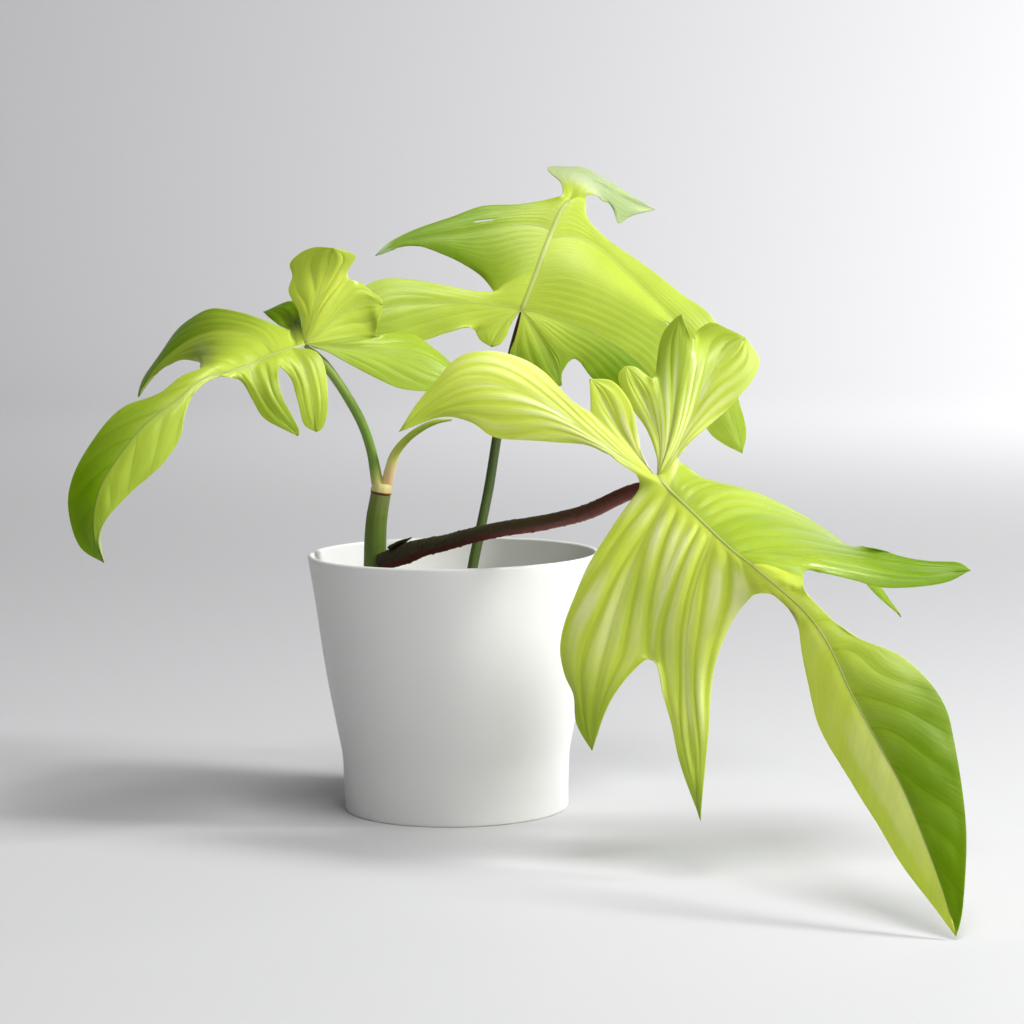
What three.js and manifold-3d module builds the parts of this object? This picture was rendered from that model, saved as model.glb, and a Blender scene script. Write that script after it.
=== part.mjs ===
// Potted philodendron with three large lobed leaves on long stalks, standing in a plain white pot.
// Millimetres, +Z up. The origin is the centre of the pot's base, and the front is towards -Y.

import * as THREE from 'three';
import Module from 'manifold-3d';
import { mergeVertices } from 'three/addons/utils/BufferGeometryUtils.js';

const wasm = await Module();
wasm.setup();

// Driving dimensions
const RIM_RADIUS = 70;
const POT_HEIGHT = 123.5;
const BASE_RADIUS = 54;
const BASE_EDGE = 0.8;
const SHOULDER = [54.9, 26.5];
const POT_WALL = 2.4;
const POT_FLOOR = 4;
const LIP_ROUND = 0.7;
const SOIL_LEVEL = 101;
const SOIL_LUMP = 0.8;
const STEM_RADIUS = 5.3;
const STEM_FOOT = 84;
const STALK_FOOT = 86;
const STEM_TOP = 151.5;
const NODE_HEIGHT = 5;
const LEFT_STALK_RADIUS = 2.5;
const BACK_STALK_RADIUS = 2.6;
const FRONT_STALK_RADIUS = 3.5;
const BLADE_THICKNESS = 0.8;
const SEAT_GAP = 0.3;

// Fineness of the facets
const POT_SIDES = 40;
const BLADE_COLUMNS = 3;
const MIDRIB_STEP = 0.13;
const VEIN_STEP = 0.01;
const BLADE_ARCH = 0.12;
const STALK_BLEND = 22;

// Colours of the materials
const MATERIALS = {
  pot: { color: 0xf1f1ef, roughness: 0.55 },
  soil: { color: 0x3a2c22, roughness: 0.95 },
  stem: { color: 0x6f8f35, roughness: 0.5 },
  node: { color: 0xe6dc9a, roughness: 0.6 },
  bract: { color: 0x3b2418, roughness: 0.9 },
  sheath: { color: 0xc9cf6a, roughness: 0.5 },
  greenStalk: { color: 0x7fa63c, roughness: 0.45 },
  darkStalk: { color: 0x3f5526, roughness: 0.45 },
  redStalk: { color: 0x5e2b26, roughness: 0.6 },
  limeBlade: { color: 0xa9cf2e, roughness: 0.4 },
};

// The leaves. Each has a midrib from the stalk to the end lobe, given by points, and a list of
// lobes that goes round it anticlockwise as seen from the upper face, from one side of the stalk
// to the other. A lobe has its own vein, which leaves the midrib at root, a part of the midrib's
// length, and goes through the points in vein. Its margins are pairs of a part of the vein's
// length and the blade's width there, on the left and right of the vein, looking to the tip.
// The blade faces along face, at the root and at the tip, and droops by so many degrees on each
// side. A gap is the notch between one lobe and the next: at is its deepest point, reach says how
// far up the two veins it lies, foot where the valley above it meets the midrib, and rows into
// how many rows the joined part of the blade is divided.
const FRONT_LEAF = {
  midrib: [[91, -105, 167], [105, -126, 154], [118, -148, 142], [128, -163, 134]],
  lobes: [
    {
      name: 'inner left',
      root: 0,
      rows: 8,
      vein: [[79, -100, 181], [71, -95, 196], [62, -89, 211]],
      face: [[-0.3, -0.75, 0.6], [-0.3, -0.75, 0.6]],
      droop: [0, 0],
      left: [[0.86, 4]],
      right: [[0.19, 1], [0.29, 4], [0.49, 8], [0.67, 10], [0.89, 8]],
    },
    {
      name: 'rear left',
      root: 0,
      rows: 14,
      vein: [[83, -106, 173], [65, -101, 183], [46, -95, 198], [26, -90, 208], [7, -87, 210],
        [-6, -86, 204], [-17, -87, 196], [-24, -88, 188]],
      face: [[-0.2, -0.75, 0.65], [-0.2, -0.9, 0.3]],
      droop: [10, 10],
      left: [[0.14, 3], [0.22, 2], [0.36, 14], [0.58, 24], [0.73, 19], [0.84, 10]],
      right: [[0.37, 8], [0.51, 14], [0.58, 16], [0.67, 16], [0.73, 14], [0.8, 8], [0.92, 2]],
    },
    {
      name: 'low left',
      root: 0.15,
      rows: 14,
      vein: [[87, -122, 147], [76, -132, 125], [67, -141, 100], [61, -148, 75], [59, -153, 53]],
      face: [[-0.3, -0.7, 0.6], [-0.6, -0.7, 0.1]],
      droop: [5, 5],
      left: [[0.65, 20], [0.72, 14], [0.81, 8], [0.89, 4]],
      right: [[0.01, 16], [0.19, 19], [0.43, 24], [0.64, 25], [0.74, 20], [0.81, 13], [0.9, 10]],
    },
    {
      name: 'low right',
      root: 0.62,
      rows: 14,
      vein: [[106, -150, 131], [100, -160, 106], [99, -167, 81], [101, -172, 54], [104, -176, 26]],
      face: [[-0.3, -0.7, 0.6], [-0.2, -0.95, 0.2]],
      droop: [5, 5],
      left: [[0.28, 21], [0.47, 13], [0.75, 7], [0.89, 3]],
      right: [[0.48, 13], [0.56, 11], [0.66, 8], [0.79, 6]],
    },
    {
      name: 'end',
      root: 1,
      rows: 16,
      vein: [[138, -178, 126], [146, -189, 119], [154, -205, 108], [162, -224, 89], [171, -243, 70],
        [179, -257, 54], [186, -272, 34], [192, -284, 16], [195, -290, 1.5]],
      face: [[-0.45, -0.6, 0.55], [-0.5, -0.85, 0.2]],
      droop: [12, 12],
      left: [[0.14, 7], [0.2, 6], [0.3, 10], [0.41, 26], [0.55, 31], [0.64, 27], [0.81, 17], [0.95, 5]],
      right: [[0.07, 6], [0.11, 3], [0.17, 2], [0.2, 6], [0.32, 15], [0.41, 19], [0.49, 20],
        [0.67, 18], [0.78, 15], [0.88, 10], [0.95, 5]],
    },
    {
      name: 'high front',
      root: 0.85,
      rows: 14,
      vein: [[141, -150, 138], [164, -144, 136], [186, -140, 130], [208, -138, 127], [226, -138, 128]],
      face: [[-0.1, -0.6, 0.8], [0.1, -0.7, 0.7]],
      droop: [10, 10],
      left: [[0.62, 13], [0.74, 10], [0.86, 7], [0.96, 5]],
      right: [[0.29, 9], [0.35, 10], [0.51, 10], [0.64, 10], [0.89, 5]],
    },
    {
      name: 'high rear',
      root: 0.3,
      rows: 12,
      vein: [[115, -112, 167], [133, -98, 163], [155, -88, 150], [176, -80, 137], [193, -75, 117],
        [205, -73, 99]],
      face: [[-0.1, -0.6, 0.8], [0.5, -0.2, 0.8]],
      droop: [60, 30],
      left: [[0.25, 10], [0.5, 15], [0.75, 10]],
      right: [[0.84, 7]],
    },
    {
      name: 'rear high',
      root: 0,
      rows: 12,
      vein: [[101, -98, 180], [108, -90, 193], [115, -82, 208], [124, -76, 219], [134, -72, 228]],
      face: [[-0.3, -0.75, 0.6], [-0.3, -0.75, 0.6]],
      droop: [10, 5],
      left: [[0.89, 24], [0.97, 22], [0.99, 12]],
      right: [[0.19, 2], [0.37, 8], [0.56, 16], [0.81, 18], [0.94, 14], [0.97, 9]],
    },
    {
      name: 'rear middle',
      root: 0,
      rows: 10,
      vein: [[98, -95, 183], [101, -86, 201], [104, -76, 223], [105, -70, 239]],
      face: [[-0.3, -0.75, 0.6], [-0.3, -0.75, 0.6]],
      droop: [5, 5],
      left: [[0.66, 11], [0.89, 9], [0.98, 3]],
      right: [[0.87, 4], [0.94, 2]],
    },
    {
      name: 'rear low',
      root: 0,
      rows: 8,
      vein: [[94, -94, 181], [89, -84, 197], [79, -74, 216]],
      face: [[-0.3, -0.75, 0.6], [-0.3, -0.75, 0.6]],
      droop: [5, 5],
      left: [[0.24, 2], [0.48, 5], [0.73, 7], [0.96, 5]],
      right: [[0.87, 6], [0.95, 4]],
    },
  ],
  gaps: [
    { foot: 0, at: [62, -94, 196], rows: 4, reach: [0.72, 0.42] },
    { foot: 0.06, at: [82, -107, 169], rows: 1, reach: [0.06, 0.05] },
    { foot: 0.4, at: [85, -150, 92], rows: 8, reach: [0.66, 0.54] },
    { foot: 0.94, at: [128, -167, 122], rows: 2, reach: [0.16, 0.02] },
    { foot: 1, at: [148, -176, 130], rows: 3, reach: [0.14, 0.16] },
    { foot: 0.57, at: [179, -95, 134], rows: 6, reach: [0.45, 0.66] },
    { foot: 0.12, at: [101, -101, 174], rows: 2, reach: [0.1, 0.15] },
    { foot: 0, at: [111, -74, 227], rows: 8, reach: [0.78, 0.85] },
    { foot: 0, at: [91, -80, 210], rows: 6, reach: [0.68, 0.86] },
  ],
};

const LEFT_LEAF = {
  midrib: [[-69, -18, 225], [-76, -22, 223], [-94, -34, 216], [-104, -41, 213]],
  lobes: [
    {
      name: 'right tail',
      root: 0,
      rows: 12,
      vein: [[-59, -16, 224], [-39, -8, 221], [-24, -4, 218], [-6, 0, 212], [5, 3, 205]],
      face: [[-0.1, -0.9, 0.4], [0.1, -0.75, 0.6]],
      droop: [8, 8],
      left: [[0.52, 12], [0.64, 15], [0.81, 10], [0.91, 6]],
      right: [[0.15, 3], [0.28, 8], [0.37, 11], [0.48, 14], [0.61, 16], [0.85, 12]],
    },
    {
      name: 'right knob',
      root: 0,
      rows: 12,
      vein: [[-63, -16, 229], [-55, -10, 237], [-44, -6, 244], [-32, -6, 243]],
      face: [[-0.2, -0.9, 0.4], [0.05, -0.95, 0.3]],
      droop: [5, 5],
      left: [[0.79, 9], [0.87, 5], [0.96, 3]],
      right: [[0.97, 10], [0.99, 5]],
    },
    {
      name: 'upright',
      root: 0,
      rows: 12,
      vein: [[-67, -16, 230], [-64, -10, 243], [-59, -5, 255], [-55, -4, 270]],
      face: [[-0.3, -0.9, 0.3], [0, -0.9, 0.45]],
      droop: [15, 10],
      left: [[0.26, 6], [0.34, 8], [0.43, 13], [0.51, 17], [0.65, 18], [0.75, 21], [0.87, 17], [0.96, 10]],
      right: [[0.8, 9], [0.88, 10], [0.97, 11]],
    },
    {
      name: 'behind',
      root: 0.1,
      rows: 8,
      vein: [[-77, 6, 233], [-83, 18, 239], [-91, 28, 239]],
      face: [[-0.2, -0.7, 0.7], [-0.4, -0.6, 0.7]],
      droop: [10, 10],
      left: [[0.75, 5]],
      right: [[0.79, 9]],
    },
    {
      name: 'arch',
      root: 0.4,
      rows: 16,
      vein: [[-88, -14, 228], [-100, -3, 231], [-113, 6, 230], [-126, 12, 226], [-139, 14, 216],
        [-147, 14, 207], [-151, 13, 199]],
      face: [[-0.1, -0.6, 0.8], [-0.88, -0.38, 0.2]],
      droop: [15, 10],
      left: [[0.57, 13], [0.69, 6], [0.78, 4], [0.9, 2]],
      right: [[0.24, 11], [0.35, 13], [0.52, 18], [0.61, 17], [0.68, 16], [0.8, 9], [0.91, 7]],
    },
    {
      name: 'end',
      root: 1,
      rows: 16,
      vein: [[-116, -48, 211], [-124, -54, 203], [-139, -62, 192], [-153, -70, 175], [-162, -75, 159],
        [-164, -77, 147], [-163, -77, 137], [-159, -76, 129]],
      face: [[-0.2, -0.75, 0.6], [-0.1, -0.95, 0.2]],
      droop: [14, 14],
      left: [[0.04, 1], [0.11, 2], [0.23, 4], [0.33, 15], [0.49, 18], [0.67, 13], [0.83, 6], [0.91, 2]],
      right: [[0.14, 9], [0.27, 11], [0.39, 17], [0.54, 18], [0.69, 16], [0.79, 13], [0.92, 7]],
    },
    {
      name: 'outer hanging',
      root: 0.72,
      rows: 12,
      vein: [[-90, -42, 207], [-85, -48, 198], [-78, -51, 190], [-71, -52, 184]],
      face: [[-0.1, -0.8, 0.55], [-0.3, -0.9, 0.3]],
      droop: [5, 5],
      left: [[0.24, 11], [0.54, 8], [0.77, 6], [0.98, 2]],
      right: [[0.13, 6], [0.39, 5], [0.61, 5], [0.83, 2]],
    },
    {
      name: 'inner hanging',
      root: 0.15,
      rows: 12,
      vein: [[-69, -30, 216], [-65, -38, 204], [-64, -41, 194], [-63, -42, 185]],
      face: [[-0.1, -0.8, 0.55], [0.1, -0.95, 0.3]],
      droop: [5, 5],
      left: [[0.18, 8], [0.34, 9], [0.67, 7], [0.83, 6], [0.97, 3]],
      right: [[0.39, 8], [0.7, 7], [0.92, 5]],
    },
  ],
  gaps: [
    { foot: 0, at: [-36, -6, 228], rows: 6, reach: [0.48, 0.8] },
    { foot: 0, at: [-48, -6, 255], rows: 5, reach: [0.55, 0.6] },
    { foot: 0, at: [-70, -12, 230], rows: 1, reach: [0.1, 0.15] },
    { foot: 0.2, at: [-76, -9, 231], rows: 1, reach: [0.15, 0.12] },
    { foot: 1, at: [-116, -42, 215], rows: 3, reach: [0.3, 0.1] },
    { foot: 0.96, at: [-103, -43, 211], rows: 1, reach: [0.02, 0.1] },
    { foot: 0.45, at: [-80, -33, 216], rows: 2, reach: [0.2, 0.2] },
  ],
};

const BACK_LEAF = {
  midrib: [[35, 45, 238], [42, 50, 255], [48, 57, 270], [56, 66, 287], [60, 69, 291]],
  lobes: [
    {
      name: 'low left',
      root: 0,
      rows: 10,
      vein: [[40, 42, 230], [47, 38, 218], [54, 34, 201]],
      face: [[-0.1, -0.9, 0.43], [-0.1, -0.97, 0.2]],
      droop: [5, 5],
      left: [[0.88, 2], [0.94, 1]],
      right: [[0.15, 6], [0.26, 11], [0.38, 17], [0.67, 17], [0.96, 8]],
    },
    {
      name: 'low right',
      root: 0,
      rows: 13,
      vein: [[46, 43, 235], [61, 41, 230], [78, 38, 223], [91, 35, 213], [102, 33, 198]],
      face: [[-0.05, -0.9, 0.43], [0.1, -0.97, 0.2]],
      droop: [5, 5],
      left: [[0.91, 23], [0.99, 16]],
      right: [[0.41, 15], [0.46, 17], [0.6, 21], [0.85, 19], [0.98, 11]],
    },
    {
      name: 'right arm',
      root: 0.62,
      rows: 14,
      vein: [[67, 62, 274], [84, 56, 258], [103, 50, 239], [123, 46, 217], [136, 43, 192], [143, 41, 166]],
      face: [[0, -0.9, 0.43], [0.25, -0.95, 0.1]],
      droop: [8, 8],
      left: [[0.12, 6], [0.18, 5], [0.27, 9], [0.46, 13], [0.6, 16], [0.83, 6], [0.94, 5]],
      right: [[0.57, 1], [0.63, 5], [0.76, 11], [0.9, 14], [0.95, 9]],
    },
    {
      name: 'end',
      root: 1,
      rows: 12,
      vein: [[62, 76, 295], [64, 92, 300], [69, 112, 303], [78, 128, 300], [88, 138, 293],
        [99, 144, 288], [108, 148, 286]],
      face: [[0, -0.5, 0.85], [0, -0.9, 0.45]],
      droop: [5, 5],
      left: [[0.25, 8], [0.44, 20], [0.51, 14], [0.61, 12], [0.69, 6]],
      right: [[0.1, 9], [0.68, 9], [0.75, 6], [0.79, 15], [0.87, 7]],
    },
    {
      name: 'left arm',
      root: 0.7,
      rows: 14,
      vein: [[40, 64, 281], [23, 62, 279], [3, 60, 275], [-17, 58, 273], [-29, 56, 270], [-37, 54, 265]],
      face: [[0, -0.9, 0.43], [-0.25, -0.9, 0.35]],
      droop: [8, 8],
      left: [[0.46, 24], [0.52, 17], [0.61, 10], [0.8, 2], [0.93, 2]],
      right: [[0.08, 18], [0.16, 10], [0.36, 13], [0.55, 10], [0.77, 5], [0.9, 2]],
    },
    {
      name: 'left tail',
      root: 0,
      rows: 13,
      vein: [[24, 44, 240], [12, 43, 242], [-7, 42, 242], [-29, 40, 241], [-48, 36, 235]],
      face: [[0, -0.9, 0.43], [-0.2, -0.9, 0.4]],
      droop: [8, 8],
      left: [[0.31, 13], [0.47, 16], [0.58, 19], [0.84, 17], [0.98, 9]],
      right: [[0.27, 6], [0.55, 12], [0.78, 16], [0.9, 13]],
    },
    {
      name: 'left drop',
      root: 0,
      rows: 8,
      vein: [[28, 43, 233], [23, 41, 226], [20, 39, 220]],
      face: [[0, -0.9, 0.43], [0, -0.97, 0.2]],
      droop: [5, 5],
      left: [[0.32, 2], [0.64, 4], [0.89, 3]],
      right: [[0.95, 7]],
    },
  ],
  gaps: [
    { foot: 0, at: [57, 36, 212], rows: 6, reach: [0.7, 0.45] },
    { foot: 0.3, at: [105, 43, 232], rows: 8, reach: [0.82, 0.55] },
    { foot: 1, at: [68, 71, 293], rows: 2, reach: [0.1, 0.06] },
    { foot: 1, at: [57, 70, 294], rows: 2, reach: [0.06, 0.12] },
    { foot: 0.3, at: [22, 47, 246], rows: 4, reach: [0.38, 0.16] },
    { foot: 0, at: [12, 42, 228], rows: 6, reach: [0.3, 0.75] },
  ],
};

// A closed geometry from any other: shared corners merged, and triangles without area left out
function solid(geometry) {
  geometry.deleteAttribute('normal');
  geometry.deleteAttribute('uv');
  const merged = mergeVertices(geometry, 1e-3);
  const index = merged.getIndex().array;
  const kept = [];
  for (let i = 0; i < index.length; i += 3) {
    const [a, b, c] = [index[i], index[i + 1], index[i + 2]];
    if (a !== b && b !== c && c !== a) kept.push(a, b, c);
  }
  merged.setIndex(kept);
  return merged;
}

function toManifold(geometry) {
  return new wasm.Manifold(new wasm.Mesh({
    numProp: 3,
    vertProperties: new Float32Array(geometry.getAttribute('position').array),
    triVerts: new Uint32Array(geometry.getIndex().array),
  }));
}

function fromManifold(manifold) {
  const mesh = manifold.getMesh();
  const geometry = new THREE.BufferGeometry();
  geometry.setAttribute('position', new THREE.Float32BufferAttribute(mesh.vertProperties, 3));
  geometry.setIndex(Array.from(mesh.triVerts));
  return geometry;
}

function geometryOf(points, triangles) {
  const geometry = new THREE.BufferGeometry();
  geometry.setAttribute('position', new THREE.Float32BufferAttribute(points.flatMap((p) => p.toArray()), 3));
  geometry.setIndex(triangles);
  return geometry;
}

const vectors = (list) => list.map((p) => new THREE.Vector3(...p));

// The value at a fraction along a list of evenly spaced values
function along(values, fraction) {
  const place = fraction * (values.length - 1);
  const i = Math.min(Math.floor(place), values.length - 2);
  return THREE.MathUtils.lerp(values[i], values[i + 1], place - i);
}

// A closed tube along a smooth line. widths are its half widths at evenly spaced places, and flat
// is its thickness as a part of its width, across the direction top.
function taperedTube(line, widths, { steps, sides, flat = 1, top = [0, 0, 1] }) {
  const curve = new THREE.CatmullRomCurve3(vectors(line));
  const points = [];
  for (let i = 0; i <= steps; i++) {
    const f = i / steps;
    const centre = curve.getPointAt(f);
    const tangent = curve.getTangentAt(f);
    const normal = new THREE.Vector3(...top);
    normal.addScaledVector(tangent, -normal.dot(tangent)).normalize();
    const side = new THREE.Vector3().crossVectors(normal, tangent);
    const half = along(widths, f);
    for (let k = 0; k < sides; k++) {
      const angle = (2 * Math.PI * k) / sides;
      const ring = centre.clone().addScaledVector(side, half * Math.cos(angle));
      points.push(ring.addScaledVector(normal, half * flat * Math.sin(angle)));
    }
  }
  const triangles = [];
  for (let i = 0; i < steps; i++) {
    for (let k = 0; k < sides; k++) {
      const a = i * sides + k;
      const b = i * sides + ((k + 1) % sides);
      triangles.push(a, a + sides, b, b, a + sides, b + sides);
    }
  }
  const last = steps * sides;
  for (let k = 1; k < sides - 1; k++) {
    triangles.push(0, k, k + 1, last, last + k + 1, last + k);
  }
  return outward(geometryOf(points, triangles));
}

// Turns a closed geometry's triangles over if they face inwards
function outward(geometry) {
  const position = geometry.getAttribute('position');
  const index = geometry.getIndex().array;
  const corner = [0, 1, 2].map(() => new THREE.Vector3());
  let volume = 0;
  for (let i = 0; i < index.length; i += 3) {
    corner.forEach((c, k) => c.fromBufferAttribute(position, index[i + k]));
    volume += corner[0].dot(corner[1].clone().cross(corner[2]));
  }
  if (volume < 0) geometry.setIndex(Array.from(index).reverse());
  return geometry;
}

// Outer radius of the pot: nearly upright at the foot, then a long flare to the rim
const POT_PROFILE = new THREE.SplineCurve([
  new THREE.Vector2(BASE_RADIUS, BASE_EDGE),
  new THREE.Vector2(BASE_RADIUS + 0.3, 14),
  new THREE.Vector2(...SHOULDER),
  new THREE.Vector2(57, 38.3),
  new THREE.Vector2(62.5, 69.6),
  new THREE.Vector2(66.7, 100.7),
  new THREE.Vector2(RIM_RADIUS, POT_HEIGHT - LIP_ROUND),
]);

function potRadius(height) {
  const samples = POT_PROFILE.getPoints(80);
  const i = Math.max(samples.findIndex((p) => p.y >= height), 1);
  const [low, high] = [samples[i - 1], samples[i]];
  return THREE.MathUtils.mapLinear(height, low.y, high.y, low.x, high.x);
}

const revolve = (profile, sides) =>
  solid(new THREE.LatheGeometry(profile, sides).rotateX(Math.PI / 2));

function potGeometry() {
  const inside = [108, 80, 50, 27, POT_FLOOR].map(
    (height) => new THREE.Vector2(potRadius(height) - POT_WALL, height));
  return outward(revolve([
    new THREE.Vector2(0, 0),
    new THREE.Vector2(BASE_RADIUS - BASE_EDGE, 0),
    ...POT_PROFILE.getPoints(9),
    new THREE.Vector2(RIM_RADIUS - LIP_ROUND, POT_HEIGHT),
    new THREE.Vector2(RIM_RADIUS - POT_WALL + LIP_ROUND, POT_HEIGHT),
    new THREE.Vector2(RIM_RADIUS - POT_WALL, POT_HEIGHT - LIP_ROUND),
    ...inside,
    new THREE.Vector2(0, POT_FLOOR),
  ], POT_SIDES));
}

// Soil that fills the pot, with a lumpy top and a plain hole for each stem that stands in it
function soilGeometry(holes) {
  const foot = POT_FLOOR + SEAT_GAP;
  const edge = (height) => potRadius(height) - POT_WALL - 2 * SEAT_GAP;
  const geometry = revolve([
    new THREE.Vector2(0, foot),
    ...[foot, 27, 50, 80, SOIL_LEVEL].map((height) => new THREE.Vector2(edge(height), height)),
    ...[0.84, 0.6, 0.3].map((part) => new THREE.Vector2(part * edge(SOIL_LEVEL), SOIL_LEVEL + 1)),
    new THREE.Vector2(0, SOIL_LEVEL + 1),
  ], POT_SIDES);
  const position = geometry.getAttribute('position');
  for (let i = 0; i < position.count; i++) {
    const [x, y, z] = [position.getX(i), position.getY(i), position.getZ(i)];
    if (z > SOIL_LEVEL) position.setZ(i, z + SOIL_LUMP * Math.sin(0.31 * x + 1) * Math.cos(0.37 * y));
  }
  return fromManifold(holes.reduce(
    (soil, hole) => soil.subtract(toManifold(hole)), toManifold(outward(geometry))));
}

// The points, normals and sideways directions at fractions along a vein. The normal turns evenly
// from the face at the lobe's root to the face at its tip, and is made square to the vein.
function veinFrames(curve, face, fractions) {
  const [rootFace, tipFace] = vectors(face).map((f) => f.normalize());
  return fractions.map((f) => {
    const ahead = curve.getPointAt(Math.min(f + VEIN_STEP, 1));
    const direction = ahead.sub(curve.getPointAt(Math.max(f - VEIN_STEP, 0))).normalize();
    const normal = rootFace.clone().lerp(tipFace, f);
    normal.addScaledVector(direction, -normal.dot(direction)).normalize();
    return {
      point: curve.getPointAt(f),
      normal,
      side: new THREE.Vector3().crossVectors(direction, normal),
    };
  });
}

// The fraction of its vein at each row of a lobe, spread evenly between its root, the notches at
// its sides and its tip
function rowFractions(lobe, gapBefore, gapAfter) {
  const fixed = new Map([[0, 0], [lobe.rows, 1]]);
  if (gapBefore) fixed.set(gapBefore.rows, gapBefore.reach[1]);
  if (gapAfter) fixed.set(gapAfter.rows, gapAfter.reach[0]);
  const stops = [...fixed].sort((a, b) => a[0] - b[0]);
  return Array.from({ length: lobe.rows + 1 }, (_, row) => {
    const k = Math.max(stops.findIndex((s) => s[0] >= row), 1);
    const [low, high] = [stops[k - 1], stops[k]];
    return Math.min(THREE.MathUtils.mapLinear(row, low[0], high[0], low[1], high[1]), 1);
  });
}

// Where the midrib has corners of the mesh: at each root and foot, and between them
function midribStops(leaf) {
  const fixed = new Set([0, 1, ...leaf.lobes.map((l) => l.root), ...leaf.gaps.map((g) => g.foot)]);
  const sorted = [...fixed].sort((a, b) => a - b);
  const stops = [0];
  for (let i = 1; i < sorted.length; i++) {
    const [low, high] = [sorted[i - 1], sorted[i]];
    const parts = Math.ceil((high - low) / MIDRIB_STEP);
    for (let k = 1; k <= parts; k++) stops.push(THREE.MathUtils.lerp(low, high, k / parts));
  }
  return stops;
}

// Points along a lobe's free margin, from the notch at start to the tip, one for each row. They
// are spread half by their distance and half by their place along the vein.
function marginPoints(lobe, curve, hand, start, reach, count) {
  const stations = hand < 0 ? lobe.left : lobe.right;
  const droop = THREE.MathUtils.degToRad(hand < 0 ? lobe.droop[0] : lobe.droop[1]);
  const frames = veinFrames(curve, lobe.face, stations.map((s) => s[0]));
  const outline = frames.map((f, i) => f.point.clone()
    .addScaledVector(f.side, hand * stations[i][1] * Math.cos(droop))
    .addScaledVector(f.normal, -stations[i][1] * Math.sin(droop)));
  const places = [reach, ...stations.map((s) => Math.max(s[0], reach)), 1];
  const margin = new THREE.CatmullRomCurve3([start, ...outline, curve.getPointAt(1)]);
  const fine = 24 * (places.length - 1);
  const samples = Array.from({ length: fine + 1 }, (_, i) => margin.getPoint(i / fine));
  const travelled = [0];
  for (let i = 1; i <= fine; i++) {
    travelled.push(travelled[i - 1] + samples[i].distanceTo(samples[i - 1]));
  }
  const progress = travelled.map((t, i) =>
    0.5 * (t / travelled[fine]) + 0.5 * ((along(places, i / fine) - reach) / (1 - reach)));
  return Array.from({ length: count + 1 }, (_, row) => {
    const wanted = row / count;
    const i = Math.min(Math.max(progress.findIndex((p) => p >= wanted - 1e-9), 1), fine);
    const part = THREE.MathUtils.clamp(
      (wanted - progress[i - 1]) / Math.max(progress[i] - progress[i - 1], 1e-9), 0, 1);
    return samples[i - 1].clone().lerp(samples[i], part);
  });
}

// The grid of one half of a lobe, from its vein (first column) to its outer line (last column).
// The outer line is the valley shared with the next lobe as far as the notch, and then the margin.
function halfLobe(leaf, i, hand) {
  const lobe = leaf.lobes[i];
  const gap = leaf.gaps[hand < 0 ? i : i - 1];
  const vein = leaf.veins[i];
  const joined = gap ? gap.rows : 0;
  const start = gap ? new THREE.Vector3(...gap.at) : vein[0].point;
  const reach = gap ? gap.reach[hand < 0 ? 0 : 1] : 0;
  const margin = marginPoints(lobe, leaf.curves[i], hand, start, reach, lobe.rows - joined);
  let outer = margin;
  let firstRow = () => vein[0].point;
  let columns = BLADE_COLUMNS;
  const crown = vein.map(() => 0);
  if (gap) {
    const near = (part) => leaf.stops.findIndex((s) => Math.abs(s - part) < 1e-6);
    const [from, to] = [near(lobe.root), near(gap.foot)];
    columns = Math.max(BLADE_COLUMNS, Math.abs(to - from));
    firstRow = (t) => leaf.rib.getPointAt(leaf.stops[Math.round(from + (to - from) * t)]);
    const other = leaf.veins[i - hand];
    const foot = leaf.rib.getPointAt(gap.foot);
    const middle = (row) => vein[row].point.clone().lerp(other[row].point, 0.5);
    const valley = [];
    for (let row = 0; row <= joined; row++) {
      const q = row / joined;
      const facing = vein[row].normal.clone().add(other[row].normal).normalize();
      crown[row] = BLADE_ARCH * 0.5 * vein[row].point.distanceTo(other[row].point) * 4 * q * (1 - q);
      valley.push(middle(row)
        .addScaledVector(foot.clone().sub(middle(0)), 1 - q)
        .addScaledVector(start.clone().sub(middle(joined)), q)
        .addScaledVector(facing, crown[row]));
    }
    outer = [...valley, ...margin.slice(1)];
  }
  const grid = outer.map((edge, row) => {
    const free = (row - joined) / (lobe.rows - joined);
    const width = edge.distanceTo(vein[row].point);
    const bulge = row > joined ? BLADE_ARCH * width * Math.sin(Math.PI * free) : crown[row];
    return Array.from({ length: columns + 1 }, (_, k) => {
      const t = k / columns;
      return vein[row].point.clone().lerp(edge, t)
        .addScaledVector(vein[row].normal, bulge * 2.4 * t * (1 - t));
    });
  });
  const shifts = grid[0].map((p, k) => firstRow(k / columns).clone().sub(p));
  const fadeRows = Math.max(joined, 2);
  grid.forEach((points, row) => {
    const fade = Math.max(1 - row / fadeRows, 0) ** 2;
    points.forEach((p, k) => p.addScaledVector(shifts[k], fade));
  });
  return grid;
}

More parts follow.
